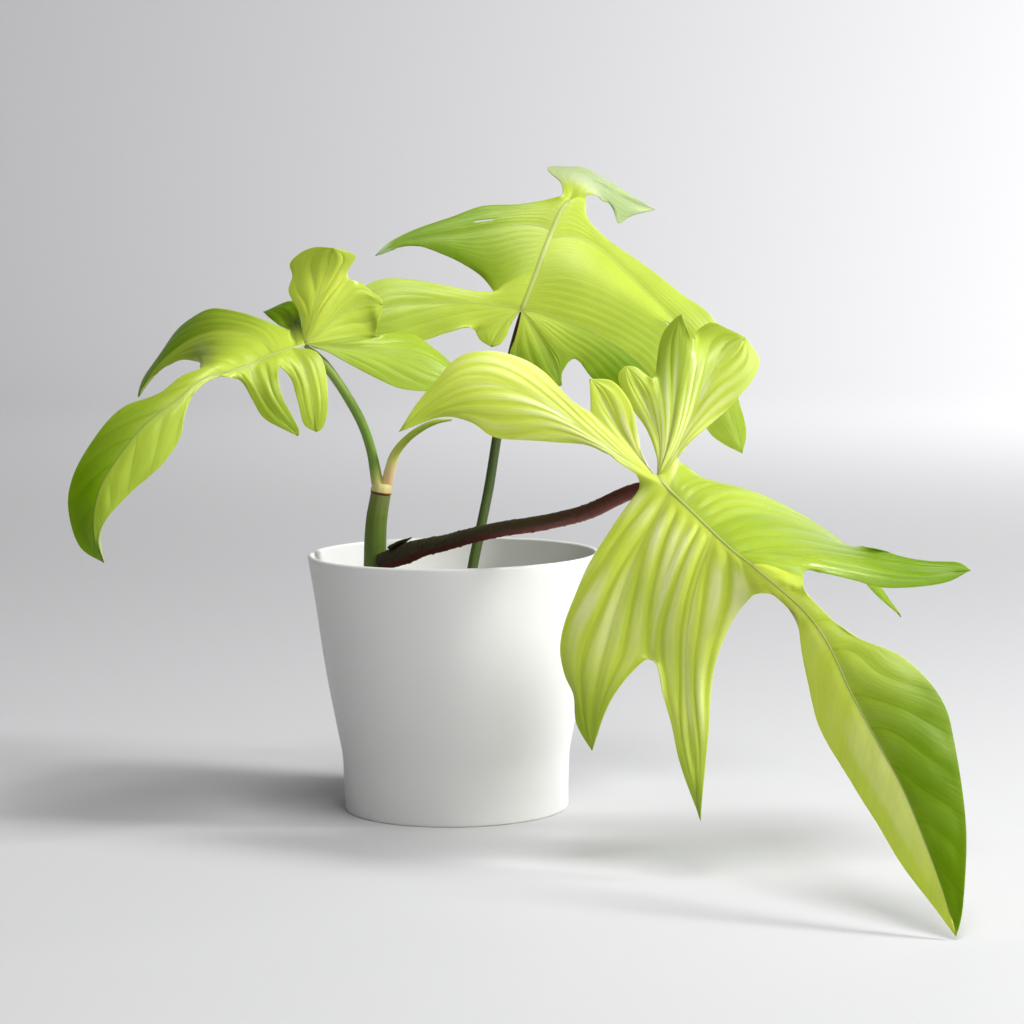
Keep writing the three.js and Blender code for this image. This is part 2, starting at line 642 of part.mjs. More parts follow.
// All the half lobes of a leaf as one sheet without thickness, with its corners merged
function bladeSheet(description) {
  const leaf = { ...description };
  leaf.rib = new THREE.CatmullRomCurve3(vectors(leaf.midrib));
  leaf.stops = midribStops(leaf);
  leaf.curves = leaf.lobes.map((lobe) =>
    new THREE.CatmullRomCurve3([leaf.rib.getPointAt(lobe.root), ...vectors(lobe.vein)]));
  leaf.veins = leaf.lobes.map((lobe, i) =>
    veinFrames(leaf.curves[i], lobe.face, rowFractions(lobe, leaf.gaps[i - 1], leaf.gaps[i])));
  const points = [];
  const triangles = [];
  leaf.lobes.forEach((lobe, i) => {
    for (const hand of [-1, 1]) {
      const grid = halfLobe(leaf, i, hand);
      const [first, across] = [points.length, grid[0].length];
      points.push(...grid.flat());
      for (let row = 0; row < lobe.rows; row++) {
        for (let k = 0; k < across - 1; k++) {
          const a = first + row * across + k;
          const [b, c, d] = [a + across, a + across + 1, a + 1];
          triangles.push(...(hand < 0 ? [a, b, c, a, c, d] : [a, c, b, a, d, c]));
        }
      }
    }
  });
  return solid(geometryOf(points, triangles));
}

// A blade of even thickness: the sheet moved up and down along its normals, with the same
// triangles on both faces, and a narrow wall round the margin. Near the stalk the normals turn
// to the one at the stalk, where many narrow strips meet.
function bladeGeometry(description) {
  const sheet = bladeSheet(description);
  sheet.computeVertexNormals();
  const attribute = (name, i) => new THREE.Vector3().fromBufferAttribute(sheet.getAttribute(name), i);
  const index = sheet.getIndex().array;
  const count = sheet.getAttribute('position').count;
  const middle = Array.from({ length: count }, (_, i) => attribute('position', i));
  const stalk = new THREE.Vector3(...description.midrib[0]);
  const distances = middle.map((p) => p.distanceTo(stalk));
  const atStalk = attribute('normal', distances.indexOf(Math.min(...distances)));
  const up = middle.map((_, i) =>
    atStalk.clone().lerp(attribute('normal', i), Math.min(distances[i] / STALK_BLEND, 1)).normalize());
  const points = [1, -1].flatMap((level) =>
    middle.map((p, i) => p.clone().addScaledVector(up[i], level * BLADE_THICKNESS / 2)));
  const triangles = [];
  const edges = new Set();
  for (let i = 0; i < index.length; i += 3) {
    const [a, b, c] = [index[i], index[i + 1], index[i + 2]];
    triangles.push(a, b, c, a + count, c + count, b + count);
    [[a, b], [b, c], [c, a]].forEach(([from, to]) => edges.add(from * count + to));
  }
  for (const edge of edges) {
    const [from, to] = [Math.floor(edge / count), edge % count];
    if (!edges.has(to * count + from)) {
      triangles.push(to, from, from + count, to, from + count, to + count);
    }
  }
  return outward(geometryOf(points, triangles));
}

const deepened = (line, depth) => [[line[0][0], line[0][1], line[0][2] - depth], ...line.slice(1)];

// The main stem. With room it is the hole that the stem stands in, wider and deeper by that much.
const STEM_LINE = [[-38, 4, STEM_FOOT], [-38, 4, 117], [-37, 4, 138], [-34.7, 4, STEM_TOP]];
const stemTube = (room) => taperedTube(
  deepened(STEM_LINE, room),
  [1, 1.06, 1, 0.91].map((part) => part * STEM_RADIUS + room),
  { steps: 8, sides: 16, top: [0, 1, 0] });

// The cream collar on the end of the stem, in line with it
function stemNode() {
  const curve = new THREE.CatmullRomCurve3(vectors(STEM_LINE));
  const aim = curve.getTangentAt(1);
  const line = [SEAT_GAP, SEAT_GAP + NODE_HEIGHT].map(
    (distance) => curve.getPointAt(1).addScaledVector(aim, distance).toArray());
  return taperedTube(line, [0.94, 1.02, 0.91].map((part) => part * STEM_RADIUS),
    { steps: 3, sides: 16, top: [0, 1, 0] });
}

// The back leaf's stalk, which stands in the soil by itself, and with room its hole
const BACK_STALK_LINE = [[6.5, 26, STALK_FOOT], [8.5, 27, 109], [13.6, 32, 132.4], [17.7, 37, 151],
  [22, 42, 175.5], [26.4, 46, 198], [30.5, 49, 217.5], [33, 49.5, 229], [35, 46.3, 237.4]];
const backStalkTube = (room) => taperedTube(
  deepened(BACK_STALK_LINE, room),
  [1.1, 1, 0.97, 0.94, 0.92, 0.9, 0.9, 0.85, 0.3].map((part) => part * BACK_STALK_RADIUS + room),
  { steps: 26, sides: 10, top: [0, 1, 0] });

// The young leaf's sheath, which curves out from the collar to a point
const sheath = () => taperedTube(
  [[-31.3, 4, 157.3], [-29.8, 2, 164], [-27.5, 0, 171], [-21.6, -4, 178.5], [-14.3, -8, 184],
    [-7.6, -10, 187], [0, -11, 188]],
  [2.3, 2.6, 2.1, 1.8, 1.6, 1.3, 0.4],
  { steps: 16, sides: 10, top: [0, 1, 0] });

// The dry brown scale on the foot of the front stalk
const driedBract = () => taperedTube(
  [[-30, -7, 127.6], [-26, -9, 129.7], [-20, -12, 132.2]],
  [3.2, 2.8, 0.5],
  { steps: 5, sides: 8, flat: 0.25 });

// The left leaf's stalk, which arches up from the collar
const leftStalk = () => taperedTube(
  [[-36.5, 4, 158.4], [-38.9, 1, 173], [-42.9, -3, 186], [-49.7, -8, 199.5], [-57.6, -12, 212],
    [-64, -14.5, 220], [-68.8, -16.8, 224]],
  [1, 0.97, 0.94, 0.92, 0.92, 0.9, 0.35].map((part) => part * LEFT_STALK_RADIUS),
  { steps: 20, sides: 10, top: [0, 1, 0] });

// The front leaf's stalk, which leans out over the pot's rim
const frontStalk = () => taperedTube(
  [[-34.8, -3.2, 119.4], [-24.2, -9, 123.6], [-15, -18, 127.7], [-3.1, -32, 131.7], [9.6, -44, 136.3],
    [22.8, -56, 140.2], [35.8, -67, 143.1], [48.8, -77, 146.5], [61.8, -86, 151], [73, -93, 157],
    [83, -98.5, 162], [91.5, -103.7, 165.9]],
  [1.2, 1.4, 1.15, 1.05, 1, 1, 1, 1, 1, 1, 0.95, 0.35].map((part) => part * FRONT_STALK_RADIUS),
  { steps: 30, sides: 12 });

const group = new THREE.Group();

function add(name, geometry, look) {
  const material = new THREE.MeshStandardMaterial({ metalness: 0, ...MATERIALS[look] });
  const mesh = new THREE.Mesh(geometry, material);
  mesh.name = name;
  group.add(mesh);
}

add('pot', potGeometry(), 'pot');
add('soil', soilGeometry([stemTube(SEAT_GAP), backStalkTube(SEAT_GAP)]), 'soil');
add('stem', stemTube(0), 'stem');
add('stem_node', stemNode(), 'node');
add('sheath', sheath(), 'sheath');
add('dried_bract', driedBract(), 'bract');
add('left_stalk', leftStalk(), 'greenStalk');
add('left_blade', bladeGeometry(LEFT_LEAF), 'limeBlade');
add('back_stalk', backStalkTube(0), 'darkStalk');
add('back_blade', bladeGeometry(BACK_LEAF), 'limeBlade');
add('front_stalk', frontStalk(), 'redStalk');
add('front_blade', bladeGeometry(FRONT_LEAF), 'limeBlade');

export default group;
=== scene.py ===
# The looks of a potted philodendron with three lobed leaves in a plain white pot.
# Lengths in the data are millimetres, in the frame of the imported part: +Z up, the front towards -Y,
# the origin at the centre of the pot's base. Meshes are made in metres.

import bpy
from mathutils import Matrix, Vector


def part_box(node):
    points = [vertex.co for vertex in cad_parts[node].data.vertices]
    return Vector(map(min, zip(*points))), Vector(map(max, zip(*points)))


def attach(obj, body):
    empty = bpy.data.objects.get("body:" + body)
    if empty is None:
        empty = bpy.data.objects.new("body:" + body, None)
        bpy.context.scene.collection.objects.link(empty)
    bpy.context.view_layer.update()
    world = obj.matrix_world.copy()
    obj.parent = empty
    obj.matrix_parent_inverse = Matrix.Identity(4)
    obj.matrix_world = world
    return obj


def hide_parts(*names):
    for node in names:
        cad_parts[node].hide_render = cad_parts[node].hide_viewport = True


bl_info = {
    "name": "Potted Philodendron",
    "version": (1, 0, 0),
    "blender": (4, 5, 0),
    "location": "3D View > Sidebar > Philodendron",
    "description": "Builds a potted philodendron with lobed lime leaves, and a pale stage for it",
    "category": "Add Mesh",
}

import bpy
import numpy as np
from mathutils import Matrix

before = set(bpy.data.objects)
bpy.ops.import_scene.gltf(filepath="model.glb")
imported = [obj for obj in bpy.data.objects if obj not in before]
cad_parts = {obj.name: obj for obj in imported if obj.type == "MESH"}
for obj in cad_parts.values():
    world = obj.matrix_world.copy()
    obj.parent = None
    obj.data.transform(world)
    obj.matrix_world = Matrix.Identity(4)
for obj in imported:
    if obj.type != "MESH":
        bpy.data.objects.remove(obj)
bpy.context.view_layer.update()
POT_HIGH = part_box("pot")[1]

MM = 0.001
BODY = "root"
RIPPLE_WAVES = 5
RIPPLE_GAIN = 1.6

# Pot and soil
POT_PROFILE = [[54.3, 14], [54.9, 26.5], [57, 38.3], [62.5, 69.6], [66.7, 100.7]]
BASE_ROUND = 0.9
LIP_ROUND = 1.1
POT_FLOOR = 4
POT_SIDES = 160
SOIL_LEVEL = 101.6
SOIL_ROOM = 0.6
SOIL_STEPS = [80, 50, 27, POT_FLOOR + 0.3]
SOIL_RINGS = 90
SOIL_SIDES = 240
MOUND_PLACE = -30
MOUND_RADIUS = 30
MOUND_HEIGHT = 1.2
SOIL_RIPPLES = [(0.7, 9), (0.45, 3.1), (0.25, 1.3)]
CRUMBS = 520
CRUMB_SIZE = (0.5, 1.9)
CRUMB_AREA = 0.93
CRUMB_FLATNESS = 0.6

# Stem and stalks: the same lines and half widths as the solids that they replace
STEM_LINE = [[-38, 4, 84], [-38, 4, 117], [-37, 4, 138], [-34.7, 4, 151.5]]
STEM_WIDTHS = [5.3, 5.6, 5.3, 4.8]
COLLAR_GAP = 0.3
COLLAR_HEIGHT = 5
COLLAR_WIDTHS = [4.95, 5.1, 4.9, 4.4]
BACK_STALK_LINE = [
    [6.5, 26, 86], [8.5, 27, 109], [13.6, 32, 132.4], [17.7, 37, 151], [22, 42, 175.5],
    [26.4, 46, 198], [30.5, 49, 217.5], [33, 49.5, 229], [35, 46.3, 237.4],
]
BACK_STALK_WIDTHS = [2.86, 2.6, 2.52, 2.44, 2.39, 2.34, 2.34, 2.2, 0.8]
LEFT_STALK_LINE = [
    [-36.2, 4.1, 156.9], [-38.9, 1, 173], [-42.9, -3, 186], [-49.7, -8, 199.5], [-57.6, -12, 212],
    [-64, -14.5, 220], [-68.8, -16.8, 224],
]
LEFT_STALK_WIDTHS = [3.0, 2.42, 2.35, 2.3, 2.3, 2.25, 0.9]
FRONT_STALK_LINE = [
    [-34.8, -3.2, 119.4], [-24.2, -9, 123.6], [-15, -18, 127.7], [-3.1, -32, 131.7],
    [9.6, -44, 136.3], [22.8, -56, 140.2], [35.8, -67, 143.1], [48.8, -77, 146.5],
    [61.8, -86, 151], [73, -93, 157], [83, -98.5, 162], [91.5, -103.7, 165.9],
]
FRONT_STALK_WIDTHS = [4.2, 4.9, 4.02, 3.67, 3.5, 3.5, 3.5, 3.5, 3.5, 3.5, 3.3, 1.2]
SHEATH_LINE = [
    [-31.6, 4, 156.4], [-29.8, 2, 164], [-27.5, 0, 171], [-21.6, -4, 178.5], [-14.3, -8, 184],
    [-7.6, -10, 187], [0, -11, 188],
]
SHEATH_WIDTHS = [2.8, 2.6, 2.1, 1.8, 1.6, 1.3, 0.4]
BRACT_LINE = [[-30, -7, 126.8], [-26, -9, 129], [-20, -12, 132]]
BRACT_WIDTHS = [3.2, 2.8, 0.5]
BRACT_FLATNESS = 0.4
WARTS = 900
WART_RADIUS = (0.3, 0.62)
WART_RISE = (0.1, 0.34)

# Blades: the fineness of the grid, the arch between the veins, and the ribs on them
ROOT_PARTS = 8
ROW_PARTS = 5
COLUMNS = 28
COLUMN_POWER = 1.35
ROOT_POWER = 1.6
MIDRIB_STEP = 0.018
VEIN_STEP = 0.01
BLADE_ARCH = 0.12
MARGIN_ARCH = 2.4 * BLADE_ARCH
FAR = 1e3
PILLOW_POWER = 0.8
VEIN_WANDER = 0.2
VEIN_BEND = 0.45
EVENING_ROUNDS = 80
HELD_SHARE = 0.75
RIM_SHARE = 0.6
RIB_STEP = 1.2
RIB_SPREAD = 2.2
RIB_SIDES = 8
RIB_FLATNESS = 0.27
RIB_SINK = 0.04
RIB_TIP = 0.12
FAN_RIB = (0.2, 0.06)

# Relief of the blades, in millimetres: where the pillows fade in from the vein, from the valley or
# margin, from the stalk and from the vein's root, the waves of the margin, and the vein's groove
VEIN_FADE = (0.5, 5)
OUTER_FADE = (0, 5)
STALK_FADE = (4, 22)
ROOT_FADE = (1, 6)
WAVE_LENGTH = 5.5
WAVE_REACH = (0, 9)
WAVE_START = (6, 20)
GROOVE_DEPTH = 0.16
GROOVE_WIDTH = 2

# Tone of the blades, as fractions of the vein, of the half's width or of a pillow's height: where
# the root's tone ends and the tip's begins, the pale band of painted light, and the painted highlights on
# the pillows
TONE_TURN = (0.0, 0.75)
TIP_START = (0.65, 1)
TIP_TONE = 0.15
PALE_START = (0.0, 0.3)
PAINTED_PANEL_WIDTH = (0.5, 0.72)
PAINTED_PANEL_START = (0.42, 0.6)
PAINTED_PANEL_END = (0.72, 0.97)
PAINTED_SHEEN_HEIGHT = (0.05, 0.45)
PAINTED_SHEEN_START = (0.02, 0.15)
PAINTED_SHEEN_END = (0.5, 0.9)

# Each leaf has its midrib, its lobes in order round the stalk, and the gaps between neighbours.
# Fractions count along the midrib or along a lobe's vein, from 0 at its root to 1 at its tip.
# A lobe, with its name above it: root is the fraction of the midrib where its vein leaves, and
# vein the rest of the vein's line. face has the normals at the vein's root and tip. droop is how
# far each half hangs, in degrees. left and right are the free margins, as fractions and widths.
# rows is the number of rows in the grid, which row_places makes finer.
# A gap: foot is the fraction of the midrib where its valley starts, and at the notch where it
# ends, after that many rows, at the fractions reach of the veins on its two sides.
# A look: fan is the number of side veins in each half, and drift how far they run outwards. With
# no fan they leave the vein at slant degrees, spacing apart. quilt, wave and rib are the heights
# or half widths of the pillows, the waves of the margin and the ribs. young, green and tip set the
# tone, from 0 for lime to 1 for green, at the root, towards the tip of each half, and at the tip.
# sheen paints a whitish highlight on the tops of the pillows, panel a pale band of painted light beside
# the vein, and pale makes it paler towards the tip. blisters are the places along and across, the radius
# and the height of bumps, and slit the first and last row and the column of the cells that are left out.

FRONT_LEAF = {
    "look": {
        "quilt": 0.55, "spacing": 8, "slant": 30, "drift": 1.6, "green": [0.35, 0.35], "young": 0.05,
        "wave": 0.35, "rib": 0.85, "painted_sheen": 0.75,
    },
    "midrib": [[91, -105, 167], [105, -126, 154], [118, -148, 142], [128, -163, 134]],
    "lobes": [
        # inner left
        {
            "root": 0, "rows": 8, "droop": [0, 0],
            "look": {"fan": [2, 2], "drift": 1, "quilt": 0.4, "green": [0.0, 0.0]},
            "vein": [[79, -100, 181], [71, -95, 196], [62, -89, 211]],
            "face": [[-0.3, -0.75, 0.6], [-0.3, -0.75, 0.6]],
            "left": [[0.86, 4]],
            "right": [[0.19, 1], [0.29, 4], [0.49, 8], [0.67, 10], [0.89, 8]],
        },
        # rear left
        {
            "root": 0, "rows": 14, "droop": [10, 10],
            "look": {"fan": [4, 3], "drift": 4, "quilt": 0.35, "green": [0.1, 0.0], "tip": 0.3},
            "vein": [
                [83, -106, 173], [65, -101, 183], [46, -95, 198], [26, -90, 208], [7, -87, 210],
                [-6, -86, 204], [-17, -87, 196], [-24, -88, 188],
            ],
            "face": [[-0.2, -0.75, 0.65], [-0.2, -0.9, 0.3]],
            "left": [[0.14, 3], [0.22, 2], [0.36, 14], [0.58, 24], [0.73, 19], [0.84, 10]],
            "right": [[0.37, 8], [0.51, 14], [0.58, 16], [0.67, 16], [0.73, 14], [0.8, 8], [0.92, 2]],
        },
        # low left
        {
            "root": 0.15, "rows": 14, "droop": [5, 5],
            "look": {"fan": [2, 2], "drift": 1.2, "quilt": 1.15, "green": [0.05, 0.05], "tip": 0.5},
            "vein": [[87, -122, 147], [76, -132, 125], [67, -141, 100], [61, -148, 75], [59, -153, 53]],
            "face": [[-0.3, -0.7, 0.6], [-0.6, -0.7, 0.1]],
            "left": [[0.65, 20], [0.72, 14], [0.81, 8], [0.89, 4]],
            "right": [
                [0.01, 16], [0.19, 19], [0.43, 24], [0.64, 25], [0.74, 20], [0.81, 13], [0.9, 10],
            ],
        },
        # low right
        {
            "root": 0.62, "rows": 14, "droop": [5, 5],
            "look": {"fan": [2, 2], "drift": 1.2, "quilt": 1.15, "green": [0.1, 0.05], "tip": 0.6},
            "vein": [
                [106, -150, 131], [100, -160, 106], [99, -167, 81], [101, -172, 54], [104, -176, 26],
            ],
            "face": [[-0.3, -0.7, 0.6], [-0.2, -0.95, 0.2]],
            "left": [[0.28, 21], [0.47, 13], [0.75, 7], [0.89, 3]],
            "right": [[0.48, 13], [0.56, 11], [0.66, 8], [0.79, 6]],
        },
        # end
        {
            "root": 1, "rows": 16, "droop": [12, 12],
            "look": {
                "slant": 45, "spacing": 15, "quilt": 0.4, "young": 0.0, "green": [0.95, -0.1],
                "tip": 0.15, "painted_light_panel": 0.33, "painted_sheen": 0.12,
                "blisters": {
                    -1: [
                        [20, 5, 2.6, 1.3], [27, 9, 3, 1.5], [38, 16, 3.2, 1.4], [33, 7, 2.4, 1],
                        [46, 21, 2.6, 1],
                    ],
                },
            },
            "vein": [
                [138, -178, 126], [146, -189, 119], [154, -205, 108], [162, -224, 89], [171, -243, 70],
                [179, -257, 54], [186, -272, 34], [192, -284, 16], [195, -290, 1.5],
            ],
            "face": [[-0.45, -0.6, 0.55], [-0.5, -0.85, 0.2]],
            "left": [
                [0.14, 7], [0.2, 6], [0.3, 10], [0.41, 26], [0.55, 31], [0.64, 27], [0.81, 17],
                [0.95, 5],
            ],
            "right": [
                [0.07, 6], [0.11, 3], [0.17, 2], [0.2, 6], [0.32, 15], [0.41, 19], [0.49, 20],
                [0.67, 18], [0.78, 15], [0.88, 10], [0.95, 5],
            ],
        },
        # high front
        {
            "root": 0.85, "rows": 14, "droop": [10, 10],
            "look": {
                "fan": [3, 2], "quilt": 0.55, "young": 0.55, "green": [0.95, 0.95], "tip": 0.3,
                "painted_sheen": 0.15,
            },
            "vein": [
                [141, -150, 138], [164, -144, 136], [186, -140, 130], [208, -138, 127],
                [226, -138, 128],
            ],
            "face": [[-0.1, -0.6, 0.8], [0.1, -0.7, 0.7]],
            "left": [[0.62, 13], [0.74, 10], [0.86, 7], [0.96, 5]],
            "right": [[0.29, 9], [0.35, 10], [0.51, 10], [0.64, 10], [0.89, 5]],
        },
        # high rear
        {
            "root": 0.3, "rows": 12, "droop": [60, 30],
            "look": {"fan": [3, 3], "quilt": 0.55, "young": 0.4, "green": [0.7, 0.7], "painted_sheen": 0.25},
            "vein": [
                [115, -112, 167], [133, -98, 163], [155, -88, 150], [176, -80, 137], [193, -75, 117],
                [205, -73, 99],
            ],
            "face": [[-0.1, -0.6, 0.8], [0.5, -0.2, 0.8]],
            "left": [[0.25, 10], [0.5, 15], [0.75, 10]],
            "right": [[0.84, 7]],
        },
        # rear high
        {
            "root": 0, "rows": 12, "droop": [10, 5],
            "look": {"fan": [3, 3], "drift": 3, "quilt": 0.4, "green": [0.35, 0.1]},
            "vein": [
                [101, -98, 180], [108, -90, 193], [115, -82, 208], [124, -76, 219], [134, -72, 228],
            ],
            "face": [[-0.3, -0.75, 0.6], [-0.3, -0.75, 0.6]],
            "left": [[0.89, 24], [0.97, 22], [0.99, 12]],
            "right": [[0.19, 2], [0.37, 8], [0.56, 16], [0.81, 18], [0.94, 14], [0.97, 9]],
        },
        # rear middle
        {
            "root": 0, "rows": 10, "droop": [5, 5],
            "look": {"fan": [2, 2], "drift": 1, "quilt": 0.5, "green": [0.45, 0.45]},
            "vein": [[98, -95, 183], [101, -86, 201], [104, -76, 223], [105, -70, 239]],
            "face": [[-0.3, -0.75, 0.6], [-0.3, -0.75, 0.6]],
            "left": [[0.66, 11], [0.89, 9], [0.98, 3]],
            "right": [[0.87, 4], [0.94, 2]],
        },
        # rear low
        {
            "root": 0, "rows": 8, "droop": [5, 5],
            "look": {"fan": [2, 2], "drift": 1, "quilt": 0.45, "green": [0.15, 0.15]},
            "vein": [[94, -94, 181], [89, -84, 197], [79, -74, 216]],
            "face": [[-0.3, -0.75, 0.6], [-0.3, -0.75, 0.6]],
            "left": [[0.24, 2], [0.48, 5], [0.73, 7], [0.96, 5]],
            "right": [[0.87, 6], [0.95, 4]],
        },
    ],
    "gaps": [
        {"foot": 0, "at": [62, -94, 196], "rows": 4, "reach": [0.72, 0.42]},
        {"foot": 0.06, "at": [82, -107, 169], "rows": 1, "reach": [0.06, 0.05]},
        {"foot": 0.4, "at": [85, -150, 92], "rows": 8, "reach": [0.66, 0.54]},
        {"foot": 0.94, "at": [128, -167, 122], "rows": 2, "reach": [0.16, 0.02]},
        {"foot": 1, "at": [148, -176, 130], "rows": 3, "reach": [0.14, 0.16]},
        {"foot": 0.57, "at": [179, -95, 134], "rows": 6, "reach": [0.45, 0.66]},
        {"foot": 0.12, "at": [101, -101, 174], "rows": 2, "reach": [0.1, 0.15]},
        {"foot": 0, "at": [111, -74, 227], "rows": 8, "reach": [0.78, 0.85]},
        {"foot": 0, "at": [91, -80, 210], "rows": 6, "reach": [0.68, 0.86]},
    ],
}

LEFT_LEAF = {
    "look": {
        "quilt": 0.45, "spacing": 8, "slant": 30, "drift": 1.6, "green": [0.5, 0.5], "young": 0.35,
        "wave": 0.3, "rib": 0.75,
    },
    "midrib": [[-69, -18, 225], [-76, -22, 223], [-94, -34, 216], [-104, -41, 213]],
    "lobes": [
        # right tail
        {
            "root": 0, "rows": 12, "droop": [8, 8],
            "look": {"fan": [3, 3], "drift": 3, "quilt": 0.35, "young": 0.5, "green": [0.6, 0.6]},
            "vein": [[-59, -16, 224], [-39, -8, 221], [-24, -4, 218], [-6, 0, 212], [5, 3, 205]],
            "face": [[-0.1, -0.9, 0.4], [0.1, -0.75, 0.6]],
            "left": [[0.52, 12], [0.64, 15], [0.81, 10], [0.91, 6]],
            "right": [[0.15, 3], [0.28, 8], [0.37, 11], [0.48, 14], [0.61, 16], [0.85, 12]],
        },
        # right knob
        {
            "root": 0, "rows": 12, "droop": [5, 5],
            "look": {"fan": [2, 2], "drift": 1.5, "quilt": 0.5, "young": 0.3, "green": [0.3, 0.3]},
            "vein": [[-63, -16, 229], [-55, -10, 237], [-44, -6, 244], [-32, -6, 243]],
            "face": [[-0.2, -0.9, 0.4], [0.05, -0.95, 0.3]],
            "left": [[0.79, 9], [0.87, 5], [0.96, 3]],
            "right": [[0.97, 10], [0.99, 5]],
        },
        # upright
        {
            "root": 0, "rows": 12, "droop": [15, 10],
            "look": {
                "fan": [2, 2], "drift": 2.5, "quilt": 0.6, "young": 0.15, "green": [0.2, 0.05],
                "tip": 0.25,
            },
            "vein": [[-67, -16, 230], [-64, -10, 243], [-59, -5, 255], [-55, -4, 270]],
            "face": [[-0.3, -0.9, 0.3], [0, -0.9, 0.45]],
            "left": [
                [0.26, 6], [0.34, 8], [0.43, 13], [0.51, 17], [0.65, 18], [0.75, 21], [0.87, 17],
                [0.96, 10],
            ],
            "right": [[0.8, 9], [0.88, 10], [0.97, 11]],
        },
        # behind
        {
            "root": 0.1, "rows": 8, "droop": [10, 10],
            "look": {"fan": [2, 2], "drift": 1, "green": [0.9, 0.9]},
            "vein": [[-77, 6, 233], [-83, 18, 239], [-91, 28, 239]],
            "face": [[-0.2, -0.7, 0.7], [-0.4, -0.6, 0.7]],
            "left": [[0.75, 5]],
            "right": [[0.79, 9]],
        },
        # arch
        {
            "root": 0.4, "rows": 16, "droop": [15, 10],
            "look": {"fan": [4, 3], "quilt": 0.45, "green": [0.55, 0.95]},
            "vein": [
                [-88, -17, 228], [-100, -9, 231], [-113, -1, 231], [-126, 7, 226], [-139, 12, 216],
                [-147, 14, 207], [-151, 13, 199],
            ],
            "face": [[-0.1, -0.6, 0.8], [-0.88, -0.38, 0.2]],
            "left": [[0.57, 13], [0.69, 6], [0.78, 4], [0.9, 2]],
            "right": [[0.24, 11], [0.35, 13], [0.52, 18], [0.61, 17], [0.68, 16], [0.8, 9], [0.91, 7]],
        },
        # end
        {
            "root": 1, "rows": 16, "droop": [14, 14],
            "look": {"slant": 40, "spacing": 12, "quilt": 0.5, "green": [0.6, 1.0]},
            "vein": [
                [-116, -48, 211], [-124, -54, 203], [-139, -62, 192], [-153, -70, 175],
                [-162, -75, 159], [-164, -77, 147], [-163, -77, 137], [-159, -76, 129],
            ],
            "face": [[-0.2, -0.75, 0.6], [-0.1, -0.95, 0.2]],
            "left": [
                [0.04, 1], [0.11, 2], [0.23, 4], [0.33, 15], [0.49, 18], [0.67, 13], [0.83, 6],
                [0.91, 2],
            ],
            "right": [[0.14, 9], [0.27, 11], [0.39, 17], [0.54, 18], [0.69, 16], [0.79, 13], [0.92, 7]],
        },
        # outer hanging
        {
            "root": 0.72, "rows": 12, "droop": [5, 5],
            "look": {"fan": [2, 2], "drift": 0.5, "quilt": 0.7, "green": [0.6, 0.6]},
            "vein": [[-90, -42, 207], [-85, -48, 198], [-78, -51, 190], [-71, -52, 184]],
            "face": [[-0.1, -0.8, 0.55], [-0.3, -0.9, 0.3]],
            "left": [[0.24, 11], [0.54, 8], [0.77, 6], [0.98, 2]],
            "right": [[0.13, 6], [0.39, 5], [0.61, 5], [0.83, 2]],
        },
        # inner hanging
        {
            "root": 0.15, "rows": 12, "droop": [5, 5],
            "look": {"fan": [2, 2], "drift": 0.5, "quilt": 0.7, "green": [0.3, 0.3]},
            "vein": [[-69, -30, 216], [-65, -38, 204], [-64, -41, 194], [-63, -42, 185]],
            "face": [[-0.1, -0.8, 0.55], [0.1, -0.95, 0.3]],
            "left": [[0.18, 8], [0.34, 9], [0.67, 7], [0.83, 6], [0.97, 3]],
            "right": [[0.39, 8], [0.7, 7], [0.92, 5]],
        },
    ],
    "gaps": [
        {"foot": 0, "at": [-36, -6, 228], "rows": 6, "reach": [0.48, 0.8]},
        {"foot": 0, "at": [-48, -6, 255], "rows": 5, "reach": [0.55, 0.6]},
        {"foot": 0, "at": [-70, -12, 230], "rows": 1, "reach": [0.1, 0.15]},
        {"foot": 0.2, "at": [-76, -9, 231], "rows": 1, "reach": [0.15, 0.12]},
        {"foot": 1, "at": [-116, -42, 215], "rows": 3, "reach": [0.3, 0.1]},
        {"foot": 0.96, "at": [-103, -43, 211], "rows": 1, "reach": [0.02, 0.1]},
        {"foot": 0.45, "at": [-80, -33, 216], "rows": 2, "reach": [0.2, 0.2]},
    ],
}

